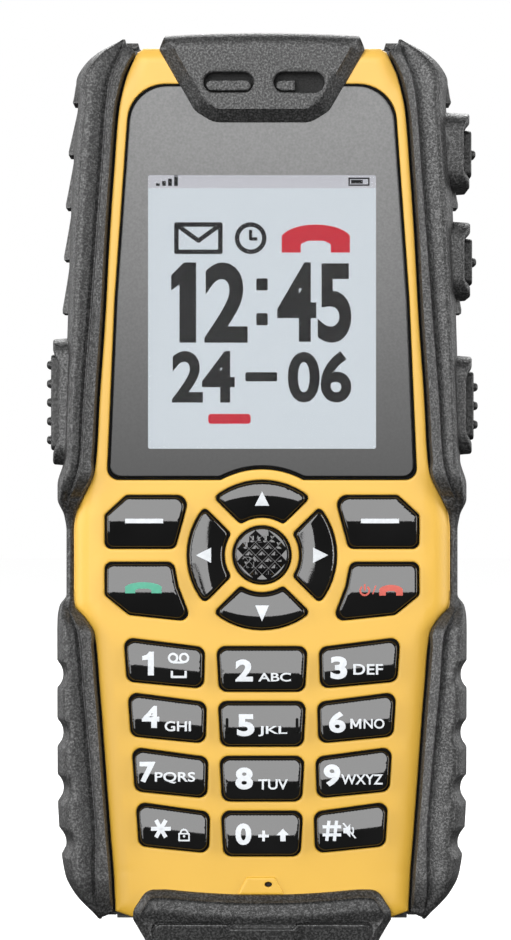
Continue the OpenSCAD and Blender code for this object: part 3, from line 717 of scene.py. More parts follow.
SOFT = [[9.5, 59.2], [11.4, 52.1], [20.7, 52.1], [20.7, 56.6], [17.9, 59.2]]
SOFT_RADII = [1.3, 0.9, 0.9, 0.6, 0.8]
END = [[11.6, 50.4], [11, 47.2], [9.2, 42.5], [17.5, 43.4], [20.7, 46], [20.7, 50.4]]
END_RADII = [1, 2, 1, 0.9, 0.8, 0.9]
NUMBER_RADIUS = 1.1


def number_corners(column, row):
    if column == 1:
        x, z = 6 - 0.2 * row, 39.3 - ROW_PITCH * row
        return [[x, z], [-x, z], [0.35 - x, z - 6], [x - 0.35, z - 6]]
    x_in, x_out, z = 7.5 - 0.22 * row, 18.2 - 0.53 * row, 40.5 - ROW_PITCH * row
    corners = [[x_in, z - 1.35], [x_in + 0.15, z - 6.8], [x_out - 0.4, z - 5.85], [x_out, z]]
    return corners if column == 2 else mirrored(corners)


def sector(d, steps=12):
    ro, ri = NAV_R - d, NAV_INNER + d
    ao = math.pi / 4 - math.asin((SPOKE / 2 + d) / ro)
    ai = math.pi / 4 - math.asin((SPOKE / 2 + d) / ri)
    outer = [[ro * math.sin(a), ro * math.cos(a)] for a in np.linspace(ao, -ao, steps + 1)]
    inner = [[ri * math.sin(a), ri * math.cos(a)] for a in np.linspace(-ai, ai, steps + 1)]
    radii = [0.6] + [0.01] * (steps - 1) + [0.6]
    return rounded(outer + inner, radii + radii, 5)


def key_outline(name, d):
    if name in ("soft_right", "soft_left"):
        shape = rounded(inset(SOFT, d), SOFT_RADII)
        return shape if name == "soft_right" else mirrored(shape)
    if name in ("end", "call"):
        shape = rounded(inset(END, d), END_RADII)
        return shape if name == "end" else mirrored(shape)
    if name in NAV:
        turn = math.radians(NAV[name])
        spin = np.array([[math.cos(turn), math.sin(turn)], [-math.sin(turn), math.cos(turn)]])
        return sector(d) @ spin + [0, NAV_Z]
    if name == "centre":
        return circle(0, NAV_Z, NAV_CENTRE - d, 60)
    return rounded(inset(number_corners(*NUMBERS[name]), d), NUMBER_RADIUS)


NAV = {"up": 0, "left": 90, "down": 180, "right": 270}
NUMBERS = {
    "1": (0, 0), "2": (1, 0), "3": (2, 0), "4": (0, 1), "5": (1, 1), "6": (2, 1),
    "7": (0, 2), "8": (1, 2), "9": (2, 2), "star": (0, 3), "0": (1, 3), "hash": (2, 3),
}
KEYS = ["soft_left", "soft_right", "call", "end"] + list(NAV) + ["centre"] + list(NUMBERS)

LENS_LOW = 61.5
LENS_SIDE = [[20.1, LENS_LOW], [19.08, 85], [17.1, 113]]
LENS_RADII = [1.5, 40, 5]
NOTCH_R = 11.6
GLASS_Y, GLASS_BACK_Y, SEAL_BACK_Y = -11.0, -9.5, -9.35


def lens_outline(grow):
    """The glass: straight sides, big upper corners and a notch over the navigation ring."""
    shape = rounded(inset(both(LENS_SIDE), -grow), LENS_RADII + LENS_RADII[::-1], 10)
    r = NOTCH_R - grow
    bottom = LENS_LOW - grow
    reach = math.acos((bottom - NAV_Z) / r)
    corner = [[math.sin(a) * r, NAV_Z + math.cos(a) * r] for a in np.linspace(-reach, reach, 25)]
    soft = [[-r * math.sin(reach) - 0.8, bottom], *corner, [r * math.sin(reach) + 0.8, bottom]]
    # the outline runs from the lower right corner round to the lower left one
    return np.concatenate([shape, soft])


def cover_heights(step):
    return np.concatenate([np.arange(COVER_LOW, 117.4, step), [COVER_HIGH]])


def cover_outline():
    zs = cover_heights(0.5)
    right = np.stack([face_half(zs), zs], 1)
    return both(np.concatenate([[[17.0, 3.6]], right, [[15.6, 118.05]]]))


def cover_height(points, outer, holes):
    x, z = np.abs(points[:, 0]), points[:, 1]
    crease = np.interp(z, [41, 44, 60, 62], [22.3, 22.0, 21.9, 21.9])
    wing = np.clip(x - crease, 0, None) * smooth(z, 40.5, 43) * (1 - smooth(z, 59, 62.5))
    beside_glass = smooth(z, 60, 63) * (1 - smooth(z, 111.5, 115))
    y = -FACE_Y + round_edge(holes, 0.22)
    y += round_edge(outer, 2.0, 0.75) * (1 - beside_glass) + round_edge(outer, 0.45, 0.3) * beside_glass
    # the sides fall away at the waist, from a soft crease
    y += 0.16 * wing + 0.072 * wing ** 2
    y += 0.07 * np.exp(-((x - crease) / 0.35) ** 2) * smooth(z, 40, 44) * (1 - smooth(z, 58, 62))
    # the top edge rolls back further, and a faint crease runs up beside the bumper
    y += 0.5 * smooth(z, 116.4, 118.2)
    y += 0.05 * smooth(x, 14, 19) * np.exp(-((z - 9.7) / 0.35) ** 2)
    return y


SLOTS = [(-7.7, -1.1), (1.5, 8.2)]
SLOT_Z, SLOT_R = 113.4, 1.3
MIC = (0.83, 7.97)


def build_front_cover():
    mic_hole = circle(*MIC, 0.5, 20, 0.34)
    openings = [key_outline(name, 0) for name in KEYS]
    openings += [lens_outline(0.3), mic_hole, pill(4.4, 8, SLOT_Z, 1)]
    shell = relief(
        [cover_outline()] + openings, cover_height, -FACE_Y + 1.5, 1.0,
        (0.06, 0.13, 0.22, 0.5, 0.9, 1.4, 1.95), 0.35,
    )
    # the ledge under the glass, and the skirt down to the parting line
    ledge = relief([lens_outline(0.9), box_outline(-15.4, 64.9, 15.4, 102)], GLASS_BACK_Y, -8.8, 3, ())
    zs = cover_heights(1.5)
    outer, inner = (np.stack([face_half(zs) - d, zs], 1) for d in (0.05, 1.5))
    rim = both(np.concatenate([[[16.9, 3.7]], outer, [[15.5, 118.0]]]))
    skirt = relief([rim, both(inner[1:-2])], -9.4, -4.0, 3, ())
    make("front_cover_shell", join(shell, ledge, skirt), "yellow_plastic", "front_cover")
    webs = [
        relief([key_outline(name, 0.004), key_outline(name, KEY_GAP - 0.05)], -10.56, SEAL_BACK_Y, 9, ())
        for name in KEYS
    ]
    make("key_opening_seals", join(*webs), "seal_rubber")
    joints = []
    for low, high in ((4.6, 40.5), (62.8, 116.5)):
        zs = np.linspace(low, high, 30)
        beside_grip = np.stack([grip_inner(zs) + JOINT + 0.02, zs], 1)
        beside_cover = np.stack([face_half(zs) - 0.03, zs], 1)[::-1]
        strip = relief([np.concatenate([beside_grip, beside_cover])], -9.85, SEAL_BACK_Y, 9, (), 0.8)
        joints += [strip, flip_x(strip)]
    make("cover_joint_seals", join(*joints), "seal_rubber")
    # raised tab round the microphone hole
    tab = relief(
        [rounded([[-3.25, 6.6], [3.0, 6.6], [1.75, 8.95], [-2.05, 8.95]], [0.1, 0.1, 0.45, 0.45]), mic_hole],
        lambda p, a, b: -FACE_Y - 0.3 + round_edge(a, 0.28, 0.26) + round_edge(b, 0.1),
        -FACE_Y + 0.2, 0.5, (0.05, 0.12, 0.2, 0.3), 0.15,
    )
    make("microphone_tab", tab, "yellow_plastic")
    # painted shade: a near-black well that stands for the shade inside the microphone hole
    well = relief([circle(*MIC, 0.6, 20, 0.44)], -10.3, SEAL_BACK_Y, 0.3, ())
    make("microphone_well", well, "slot_floor_painted_shade", slot="seal_rubber")


# ---------- glass and display ----------

WINDOW = (-15, 65.3, 15, 101.3)
SCREEN_Y = -8.6


def build_glass():
    edge = (0.05, 0.1, 0.18)
    glass = relief(
        [lens_outline(0), box_outline(*WINDOW, 0.25)],
        lambda p, a, b: GLASS_Y + round_edge(a, 0.18), GLASS_BACK_Y, 3, edge,
    )
    # the lens wears the grey print with its painted reflection gradient
    make("display_lens_print", glass, "lens_glass", "display_lens")
    pane = box_outline(WINDOW[0] + 0.02, WINDOW[1] + 0.02, WINDOW[2] - 0.02, WINDOW[3] - 0.02, 0.23)
    make("display_window", relief([pane], GLASS_Y, GLASS_BACK_Y, 6, ()), "window_glass", slot="lens_glass")
    gasket = relief(
        [lens_outline(0.28), lens_outline(0.02)],
        lambda p, a, b: -10.9 + round_edge(a, 0.08) + round_edge(b, 0.06), GLASS_BACK_Y, 2, (0.05, 0.12),
    )
    make("lens_gasket_ring", gasket, "seal_rubber", "lens_gasket")
    screen = relief([box_outline(-15.7, 64.3, 15.7, 103.5)], SCREEN_Y, -6.65, 4, ())
    make("display_screen", screen, "display", "lcd_panel")


# ---------- flat prints and text ----------


def text_shape(text, x0, x1, z0, z1, bold=0.03):
    """Built-in lettering fitted to a box, as flat points and faces."""
    curve = bpy.data.curves.new("lettering", "FONT")
    curve.body = text
    curve.size = 1
    curve.offset = bold
    curve.resolution_u = 5
    holder = bpy.data.objects.new("lettering", curve)
    scene.collection.objects.link(holder)
    bpy.context.view_layer.update()
    mesh = bpy.data.meshes.new_from_object(holder.evaluated_get(bpy.context.evaluated_depsgraph_get()))
    points = np.array([v.co[:2] for v in mesh.vertices])
    faces = [tuple(p.vertices) for p in mesh.polygons]
    bpy.data.objects.remove(holder)
    bpy.data.curves.remove(curve)
    bpy.data.meshes.remove(mesh)
    low, high = points.min(0), points.max(0)
    points = (points - low) / (high - low) * [x1 - x0, z1 - z0] + [x0, z0]
    return points, faces


def filled(*loops):
    points, tris, _ = fill([np.array(loop, float) for loop in loops])
    return points, [tuple(t) for t in tris]


def print_solid(shape, surface, cut=0.4, proud=0.014, depth=0.05):
    """A flat shape laid on a curved surface, with a little thickness."""
    points, flat_faces = shape
    bm = bmesh.new()
    verts = [bm.verts.new((p[0], 0, p[1])) for p in points]
    for face in flat_faces:
        if len(set(face)) > 2:
            try:
                bm.faces.new([verts[i] for i in face])
            except ValueError:
                # lettering can repeat a face or a corner
                pass
    bmesh.ops.remove_doubles(bm, verts=bm.verts, dist=1e-4)
    for axis in (0, 2):
        values = [v.co[axis] for v in bm.verts]
        for at in np.arange(min(values) + cut, max(values), cut):
            co, no = Vector((0, 0, 0)), Vector((0, 0, 0))
            co[axis], no[axis] = at, 1
            parts = bm.verts[:] + bm.edges[:] + bm.faces[:]
            bmesh.ops.bisect_plane(bm, geom=parts, plane_co=co, plane_no=no, dist=1e-5)
    bm.verts.index_update()
    flat = np.array([(v.co.x, v.co.z) for v in bm.verts])
    y = surface(flat)
    near = front(flat[:, 0], flat[:, 1], y - proud)
    far = front(flat[:, 0], flat[:, 1], y + depth)
    count = len(flat)
    faces, sides = [], {}
    for face in bm.faces:
        loop = [v.index for v in face.verts]
        if face.normal.y > 0:
            loop.reverse()
        faces += [tuple(loop), tuple(count + i for i in reversed(loop))]
        for i, j in zip(loop, loop[1:] + loop[:1]):
            sides.setdefault((min(i, j), max(i, j)), []).append((i, j))
    # a side that only one face has is on the outline, and gets a wall
    rim = [pair[0] for pair in sides.values() if len(pair) == 1]
    faces += [(j, i, count + i, count + j) for i, j in rim]
    bm.free()
    return np.concatenate([near, far]), faces


def arc_band(x, z, r0, r1, a0, a1, steps=14):
    """A band between two radii, over angles in degrees from the +X axis."""
    a = np.radians(np.linspace(a0, a1, steps))
    outer = np.stack([x + r1 * np.cos(a), z + r1 * np.sin(a)], 1)
    inner = np.stack([x + r0 * np.cos(a[::-1]), z + r0 * np.sin(a[::-1])], 1)
    return np.concatenate([outer, inner])


def bar(x0, z0, x1, z1, width):
    """A straight stroke between two points."""
    a, b = np.array([x0, z0], float), np.array([x1, z1], float)
    side = unit(b - a)[::-1] * [-1, 1] * width / 2
    return np.array([a + side, a - side, b - side, b + side])


def handset(x0, x1, z0, z1):
    """A telephone handset lying face down."""
    x, width, height = (x0 + x1) / 2, x1 - x0, z1 - z0
    a = np.radians(np.linspace(162, 18, 15))
    back_x = x + width / 2 * np.cos(a) / math.cos(a[-1])
    back_z = z0 + height * 0.42 + height * 0.58 * np.sin(a)
    foot, grip = 0.28 * width, 0.12 * width
    return np.concatenate([
        [[x0, z0]], np.stack([back_x, back_z], 1),
        [[x1, z0], [x1 - foot, z0], [x1 - foot, z0 + height * 0.3]],
        [[x + grip, z0 + height * 0.42], [x - grip, z0 + height * 0.42]],
        [[x0 + foot, z0 + height * 0.3], [x0 + foot, z0]],
    ])


# ---------- keys ----------

KEY_PEAK, EDGE, KEY_BACK_Y, CENTRE_Y = 11.62, 0.34, -8.75, -11.3
# a key's front is a shallow trough: its curvature, and how far its crest lies below the key's middle line
CROWN, APEX = 0.0354, 0.59
# navigation keys: distance of the crest from the ring's centre, curvature
NAV_CROWN = {"up": (8.0, 0.07), "left": (8.0, 0.07), "down": (8.05, 0.06), "right": (6.2, 0.06)}
NAV_SETBACK = 8.0


def key_axis(name):
    """Middle line of a key: (height at x = 0, slope)."""
    if name in NUMBERS:
        c = np.array(number_corners(*NUMBERS[name]))
        left, right = c[c[:, 0] < c[:, 0].mean()], c[c[:, 0] > c[:, 0].mean()]
        (x0, z0), (x1, z1) = left.mean(0), right.mean(0)
        slope = (z1 - z0) / (x1 - x0)
        return z0 - slope * x0, slope
    return (56.6, 0) if "soft" in name else (47.1, 0)


def key_surface(name):
    """The crowned front of a key, without its bevelled edge."""
    if name in NAV:
        line, crown = NAV_CROWN[name]
        turn = math.radians(NAV[name])
        x0, z0 = NAV_SETBACK * math.sin(turn), NAV_Z - NAV_SETBACK * math.cos(turn)
        return lambda p: -KEY_PEAK + crown * (np.hypot(p[:, 0] - x0, p[:, 1] - z0) - NAV_SETBACK - line) ** 2
    if name == "centre":
        return lambda p: np.full(len(p), CENTRE_Y)
    z0, slope = key_axis(name)
    return lambda p: -KEY_PEAK + CROWN * (p[:, 1] - z0 - slope * p[:, 0] + APEX) ** 2


KNURL, KNURL_REACH = 1.2, 3.4


def pyramids(base, rise):
    """Rows of small four-sided pyramids, set diagonally, on the centre key."""
    solids = []
    half = KNURL / math.sqrt(2)
    for i in range(-4, 5):
        for j in range(-4, 5):
            x, z = (i + j) * half, (i - j) * half
            if math.hypot(x, z) > NAV_CENTRE - 0.9:
                continue
            corners = [(x + half, z), (x, z + half), (x - half, z), (x, z - half)]
            corners = [np.array(c) * min(1, KNURL_REACH / math.hypot(*c)) if any(c) else c for c in corners]
            points = [[cx, base, NAV_Z + cz] for cx, cz in corners]
            points += [[cx, base + 0.2, NAV_Z + cz] for cx, cz in corners] + [[x, base - rise, NAV_Z + z]]
            faces = [(0, 1, 8), (1, 2, 8), (2, 3, 8), (3, 0, 8), (7, 6, 5, 4)]
            faces += [(k, k + 4, (k + 1) % 4 + 4, (k + 1) % 4) for k in range(4)]
            solids.append((np.array(points), faces))
    return solids


def build_keys():
    for name in KEYS:
        surface = key_surface(name)

        def height(p, a, b, surface=surface):
            return surface(p) + round_edge(a, EDGE, EDGE * 1.1)

        rings = (0.04, 0.1, 0.17, 0.25, 0.34)
        cap = relief([key_outline(name, KEY_GAP)], height, KEY_BACK_Y, 0.45, rings, 0.22)
        if name == "centre":
            cap = join(cap, *pyramids(CENTRE_Y + 0.01, 0.27))
        make(f"key_{name}_cap", cap, "key_plastic", f"key_{name}", body=f"key_{name}", sharp=30)


# lettering on the keys: (text, x0, x1, z0, z1)
LEGENDS = {
    "2": [("2", -3.5, -1.2, 34.7, 37.6), ("ABC", -0.5, 3.8, 34.7, 35.85)],
    "3": [("3", 9, 11.2, 35, 38), ("DEF", 12, 15.9, 35.6, 37)],
    "4": [("4", -15.8, -13.5, 28.6, 31.5), ("GHI", -12.8, -9.35, 28.15, 29.5)],
    "5": [("5", -3.3, -1, 27.5, 30.4), ("JKL", -0.5, 3.3, 27.5, 28.85)],
    "6": [("6", 8.8, 11, 27.95, 30.75), ("NO", 13.35, 16.1, 28.5, 29.8)],
    "7": [("7", -16.1, -14, 21.4, 24.15), ("PQRS", -14.1, -8.8, 21.3, 22.8)],
    "8": [("8", -3.5, -1.2, 20.5, 23.4), ("TUV", -0.5, 3.4, 20.5, 21.85)],
    "9": [("9", 8.1, 10.3, 20.9, 23.8), ("WXYZ", 10.4, 15.9, 21.15, 22.5)],
    "0": [("0", -3.5, -1.4, 13.2, 16.05)],
}


def legend_icons():
    """Small marks on the keys: a list of shapes for each key, and for each shape its outlines."""
    icons = {
        "1": [
            [[[-14.22, 35.5], [-14.22, 38.62], [-14.85, 38.62], [-15.15, 38.22],
              [-15.75, 38.05], [-15.75, 37.5], [-15.0, 37.58], [-15.0, 35.5]]],
            # voicemail and space marks
            *([circle(x, 37.8, 0.68, 24), circle(x, 37.8, 0.4, 20)] for x in (-11.7, -10.25)),
            [bar(-11.7, 37.2, -10.25, 37.2, 0.26)],
            [bar(-12, 35.3, -9.9, 35.3, 0.3)],
            *([bar(x, 35.2, x, 36.1, 0.3)] for x in (-11.85, -10.05)),
        ],
        "star": [],
        # plus and shift arrow
        "0": [
            [bar(-0.5, 14.4, 0.9, 14.4, 0.36)],
            [bar(0.2, 13.7, 0.2, 15.1, 0.36)],
            [[[2.4, 13.7], [3.1, 13.7], [3.1, 14.5], [3.6, 14.5], [2.75, 15.35], [1.9, 14.5], [2.4, 14.5]]],
        ],
        # the M
        "6": [
            *([bar(x, 28.5, x, 29.8, 0.28)] for x in (11.75, 12.9)),
            *([bar(x, 29.75, 12.325, 28.75, 0.26)] for x in (11.78, 12.87)),
        ],
        # hash and silent mode
        "hash": [
            *([bar(x, 13.75, x + 0.3, 16.4, 0.42)] for x in (8.5, 9.5)),
            *([bar(7.95, z, 10.4, z, 0.4)] for z in (14.55, 15.6)),
            [[[10.7, 14.75], [11.1, 14.75], [11.6, 14.2], [11.6, 16.0], [11.1, 15.45], [10.7, 15.45]]],
            [bar(10.65, 16.1, 12.3, 14.1, 0.2)],
            [arc_band(11.3, 15.1, 0.62, 0.8, -40, 40)],
        ],
        "soft_left": [[box_outline(-18, 55.5, -13, 56.1, 0.05)]],
        "soft_right": [[box_outline(13, 55.5, 18, 56.1, 0.05)]],
        "up": [[[[-0.95, 57.8], [0.95, 57.8], [0, 59.7]]]],
        "down": [[[[-0.9, 44.7], [0, 42.6], [0.9, 44.7]]]],
        "left": [[[[-8.7, 51.3], [-6.7, 50.3], [-6.7, 52.3]]]],
        "right": [[[[8.7, 51.3], [6.7, 52.3], [6.7, 50.3]]]],
        "call": [[handset(-18, -13.2, 46.3, 47.75)]],
        "end": [
            [handset(15.4, 18.5, 46.0, 47.4)],
            [arc_band(13.5, 46.65, 0.48, 0.72, 125, 415, 22)],
            [bar(13.5, 46.65, 13.5, 47.5, 0.22)],
            [bar(14.55, 46.2, 14.95, 47.3, 0.16)],
        ],
    }
    for turn in (0, 60, 120):
        dx, dz = 1.3 * math.cos(math.radians(turn)), 1.3 * math.sin(math.radians(turn))
        icons["star"].append([bar(-13.3 - dx, 15.35 - dz, -13.3 + dx, 15.35 + dz, 0.52)])
    # padlock
    icons["star"] += [
        [box_outline(-11, 13.7, -9.5, 14.8, 0.12), box_outline(-10.8, 13.9, -9.7, 14.6, 0.05)],
        [arc_band(-10.25, 14.8, 0.34, 0.56, 0, 180)],
        [circle(-10.25, 14.35, 0.16, 12)],
    ]
    return icons


def build_legends():
    icons = legend_icons()
    ink = {"call": "green_ink", "end": "red_ink"}
    for name in KEYS:
        lettering = LEGENDS.get(name, [])
        shapes = [text_shape(text, *box, 0.04 if len(text) == 1 else 0.018) for text, *box in lettering]
        shapes += [filled(*loops) for loops in icons.get(name, [])]
        if not shapes:
            continue
        solids = [print_solid(shape, key_surface(name)) for shape in shapes]
        colour = ink.get(name, "white_ink")
        make(f"key_{name}_legend", join(*solids), colour, body=f"key_{name}", slot="key_plastic")
    # raised bars that a thumb finds on the middle key
    surface = key_surface("5")
    upright = pill(-1.0, 1.0, 0, 0.19)[:, ::-1]

    def bar_height(p, a, b):
        return surface(p) - 0.18 + round_edge(a, 0.15)

    bars = [relief([upright + [x, 28.9]], bar_height, -11.2, 0.2, (0.05, 0.1)) for x in (-4.6, 4.6)]
    make("key_5_bars", join(*bars), "seal_rubber", body="key_5", slot="key_plastic")


# ---------- rubber grips ----------

# heights of the ribs' steps, and of the grooves lower down
STEPS = [111.2, 104.3, 97.3, 90.4, 83.3]
SCALLOPS = [13.4, 20.5, 27.8, 35.5]
# where the grips' inner flank ends, at the parting line of the two covers
PARTING_Y = -4.02


def body_outer(z):
    """Outer half width of the grip's body: scalloped low down, drawn in behind the ribs higher up."""
    o = float(outer_half(z))
    for groove in SCALLOPS:
        o -= 0.8 * max(0.0, 1 - (abs(z - groove) / 1.75) ** 2) ** 0.8
    return o - 0.85 * float(smooth(z, 60.5, 64)) * float(1 - smooth(z, 111, 114.5))


def grip_ring(z):
    """One level section of the right grip: joint, ridge, groove, swell, side and rear."""
    w = float(grip_inner(z)) + 0.02 + JOINT * float(1 - smooth(z, 39, 41) * (1 - smooth(z, 62, 64)))
    rx, ry, o = float(ridge_x(z)), float(ridge_y(z)), body_outer(z)
    rx = min(rx, o - 0.35)
    w = min(w, rx - 0.12)
    valley = min(1.0, max(0.05, (o - rx - 1.0) / 2.2))
    start = max(-10.35, ry + 0.35)
    band = min(0.32, (rx - w) * 0.3)
    y1 = min(ry + 0.85, start - 0.1) if ry + 0.85 < start else (start + ry) / 2
    c = min(float(core_half(z)), o - 0.6)
    corner = o - 4.5
    edge = max(min(c, corner) - 2.6, 13.4)
    line = [[w, PARTING_Y], [w, start], [w + band, y1], [rx, ry], [rx + 0.12 * valley, ry + 0.72 * valley]]
    foot = [rx + 0.3 * valley, ry + 0.78 * valley]
    shape = rounded(
        [[w, 0]] + line + [foot], [0, 0, 0.08, 0.12, 0.12 * valley, 0.08 * valley, 0], 4, True,
    )[5:-5]
    # beyond the groove the rubber swells to a crest, then rolls over to the side
    xk, yk = foot[0] + 0.56 * (o - foot[0]), ry + 0.06
    xf, yf = foot
    swell = [[xf + (xk - xf) * t, yk + (yf - yk) * (1 - t) ** 2] for t in np.linspace(0, 0.93, 10)]
    turn = np.linspace(0.15, math.pi / 2, 16)
    roll = [[xk + (o - xk) * math.sin(a), -5 + (yk + 5) * math.cos(a)] for a in turn]
    side = [[o, y] for y in np.linspace(-3.5, 5, 7)]
    rear = [[corner + 4.5 * math.cos(a), 6 + 6.7 * math.sin(a)] for a in np.linspace(0, math.pi / 2, 9)]
    tail = [
        [edge + 0.15, BUMPER_Y], [edge, BUMPER_Y - 0.12], [edge - 0.4, BACK_Y + 0.02],
        [min(c, corner + 1.6), BACK_Y + 0.02], [c, 6.5], [c, PARTING_Y],
    ]
    outline = np.concatenate([shape, swell, roll, side, rear, tail])
    return np.stack([outline[:, 0], outline[:, 1], np.full(len(outline), z)], 1)


def rib_solid(z_low, z_high):
    """One shingle of the grip's side: thin at its upper end, with a square step at its lower end."""
    rings = []
    for t in np.linspace(0, 1, 15):
        z = z_low + (z_high - z_low) * t
        lift = (0.86 * (1 - t) ** 1.2 + 0.02) * (1 if t > 0 else 0.86)
        inner = body_outer(z) - 0.6
        outer = body_outer(z) + lift
        half = 4.6 - 1.2 * t
        front_side = [[inner, -half - 0.8], [outer - 0.1, -half], [outer, -half + 0.5]]
        section = rounded(front_side + [[outer, half], [inner, half + 0.8]], [0, 0.3, 0.3, 0.3, 0], 4, True)
        rings.append(np.stack([section[:, 0], section[:, 1], np.full(len(section), z)], 1))
    return rings_solid(rings)


# side, lower end, upper end, reach from the middle of the phone, number of bumps
SIDE_KEYS = {
    "left": (-1, 65.1, 77.9, 28.1, 5),
    "upper": (1, 101.4, 107.7, 27.9, 1),
    "middle": (1, 87.1, 93.3, 28.0, 1),
    "lower": (1, 66.5, 75.6, 28.2, 3),
}


COLLAR_FRONT, COLLAR_REAR = -9.9, 6.6


def collar_solid(z0, z1, reach):
    """A raised frame round a side key: a low wall in front and behind, and taller ends."""
    mid, half = (z0 + z1) / 2, (z1 - z0) / 2 + 1.15
    low, high = mid - half, mid + half
    corners = [[COLLAR_FRONT, low], [COLLAR_REAR, low], [COLLAR_REAR, high], [COLLAR_FRONT, high]]
    path = resample(rounded(corners, 2.2, 10), 0.35)
    rings = []
    count = len(path)
    for i, (y, z) in enumerate(path):
        along = unit(path[(i + 1) % count] - path[i - 1])
        out = np.array([along[1], -along[0]])
        rise = float(smooth(abs(z - mid) / half, 0.55, 1.0))
        high = reach - 1.15 + 0.85 * rise
        low = body_outer(z) - 1.7
        wide = 0.62 + 0.1 * rise
        front_side = [[low, -wide - 0.25], [high - 0.15, -wide], [high, -wide + 0.25]]
        section = rounded(front_side + [[high, wide - 0.1], [low, wide]], [0, 0.3, 0.25, 0.2, 0], 4, True)
        rings.append(np.stack([section[:, 0], y + out[0] * -section[:, 1], z + out[1] * -section[:, 1]], 1))
    return np.concatenate(rings), ring_faces(count, len(rings[0]), closed=True)


def build_grips():
    zs = np.concatenate([[3.4, 3.55, 3.8, 4.1], np.arange(4.4, 118.8, 0.33), [118.9, 119.05, 119.2]])
    skin = rings_solid([grip_ring(z) for z in zs])
    for side, name in ((-1, "left"), (1, "right")):
        turned = flip_x if side < 0 else join
        spans = [(z0, z1, reach) for key_side, z0, z1, reach, _ in SIDE_KEYS.values() if key_side == side]
        collars = [collar_solid(z0, z1, reach - 0.2) for z0, z1, reach in spans]
        make(f"grip_{name}_skin", turned(join(skin, *collars)), "black_rubber", f"grip_{name}")
        ribs = [
            rib_solid(low, high - 0.1)
            for low, high in zip(STEPS, [114.2] + STEPS[:-1])
            if not any(z0 - 1.8 < low < z1 + 1.8 for z0, z1, _ in spans)
        ]
        # the ribs wear the paler rubber copy, painted light for the light falling on the sides
        make(f"grip_{name}_ribs", turned(join(*ribs)), "side_rib_painted_light", slot="black_rubber")


def build_side_keys():
    for name, (side, z0, z1, reach, bumps) in SIDE_KEYS.items():
        inner = float(core_half(z0)) + 0.52
        outline = box_outline(z0, -2.9, z1, 2.9, 0.8)
        bars = [relief(
            [outline], lambda p, a, b: reach - round_edge(a, 0.35), inner, 0.8,
            (0.06, 0.14, 0.24, 0.35), 0.3, sideways,
        )]
        for k in range(bumps):
            z = (z0 + z1) / 2 + (k - (bumps - 1) / 2) * 2.5
            bump = pill(-2.2, 2.2, 0, 0.62)[:, ::-1] + [z, 0]
            bars.append(relief(
                [bump], lambda p, a, b: reach + 0.58 - round_edge(a, 0.5, 0.55), reach - 0.2, 0.4,
                (0.08, 0.18, 0.3, 0.42), 0.2, sideways,
            ))
        key = join(*bars) if side > 0 else flip_x(join(*bars))
        make(f"side_key_{name}_bar", key, "side_key_rubber", f"side_key_{name}", body=f"side_key_{name}")


# ---------- earpiece guard ----------

GUARD = [[6.4, 108.15], [8.9, 109.7], [13.55, 117.8], [12.75, 119.7]]


GUARD_HALF = 12.8


def guard_top(x):
    return 120.0 - 0.4 * (x / GUARD_HALF) ** 2


def guard_outline():
    lower = rounded([[0, 108.15]] + GUARD, [0, 3.2, 2.6, 0.5, 0], 8)[:-1]
    xs = np.linspace(12.75, -12.75, 40)
    arch = np.stack([xs, guard_top(xs)], 1)
    return np.concatenate([lower, arch, mirrored(lower)[:-1]]), np.concatenate([mirrored(lower), lower[1:]])


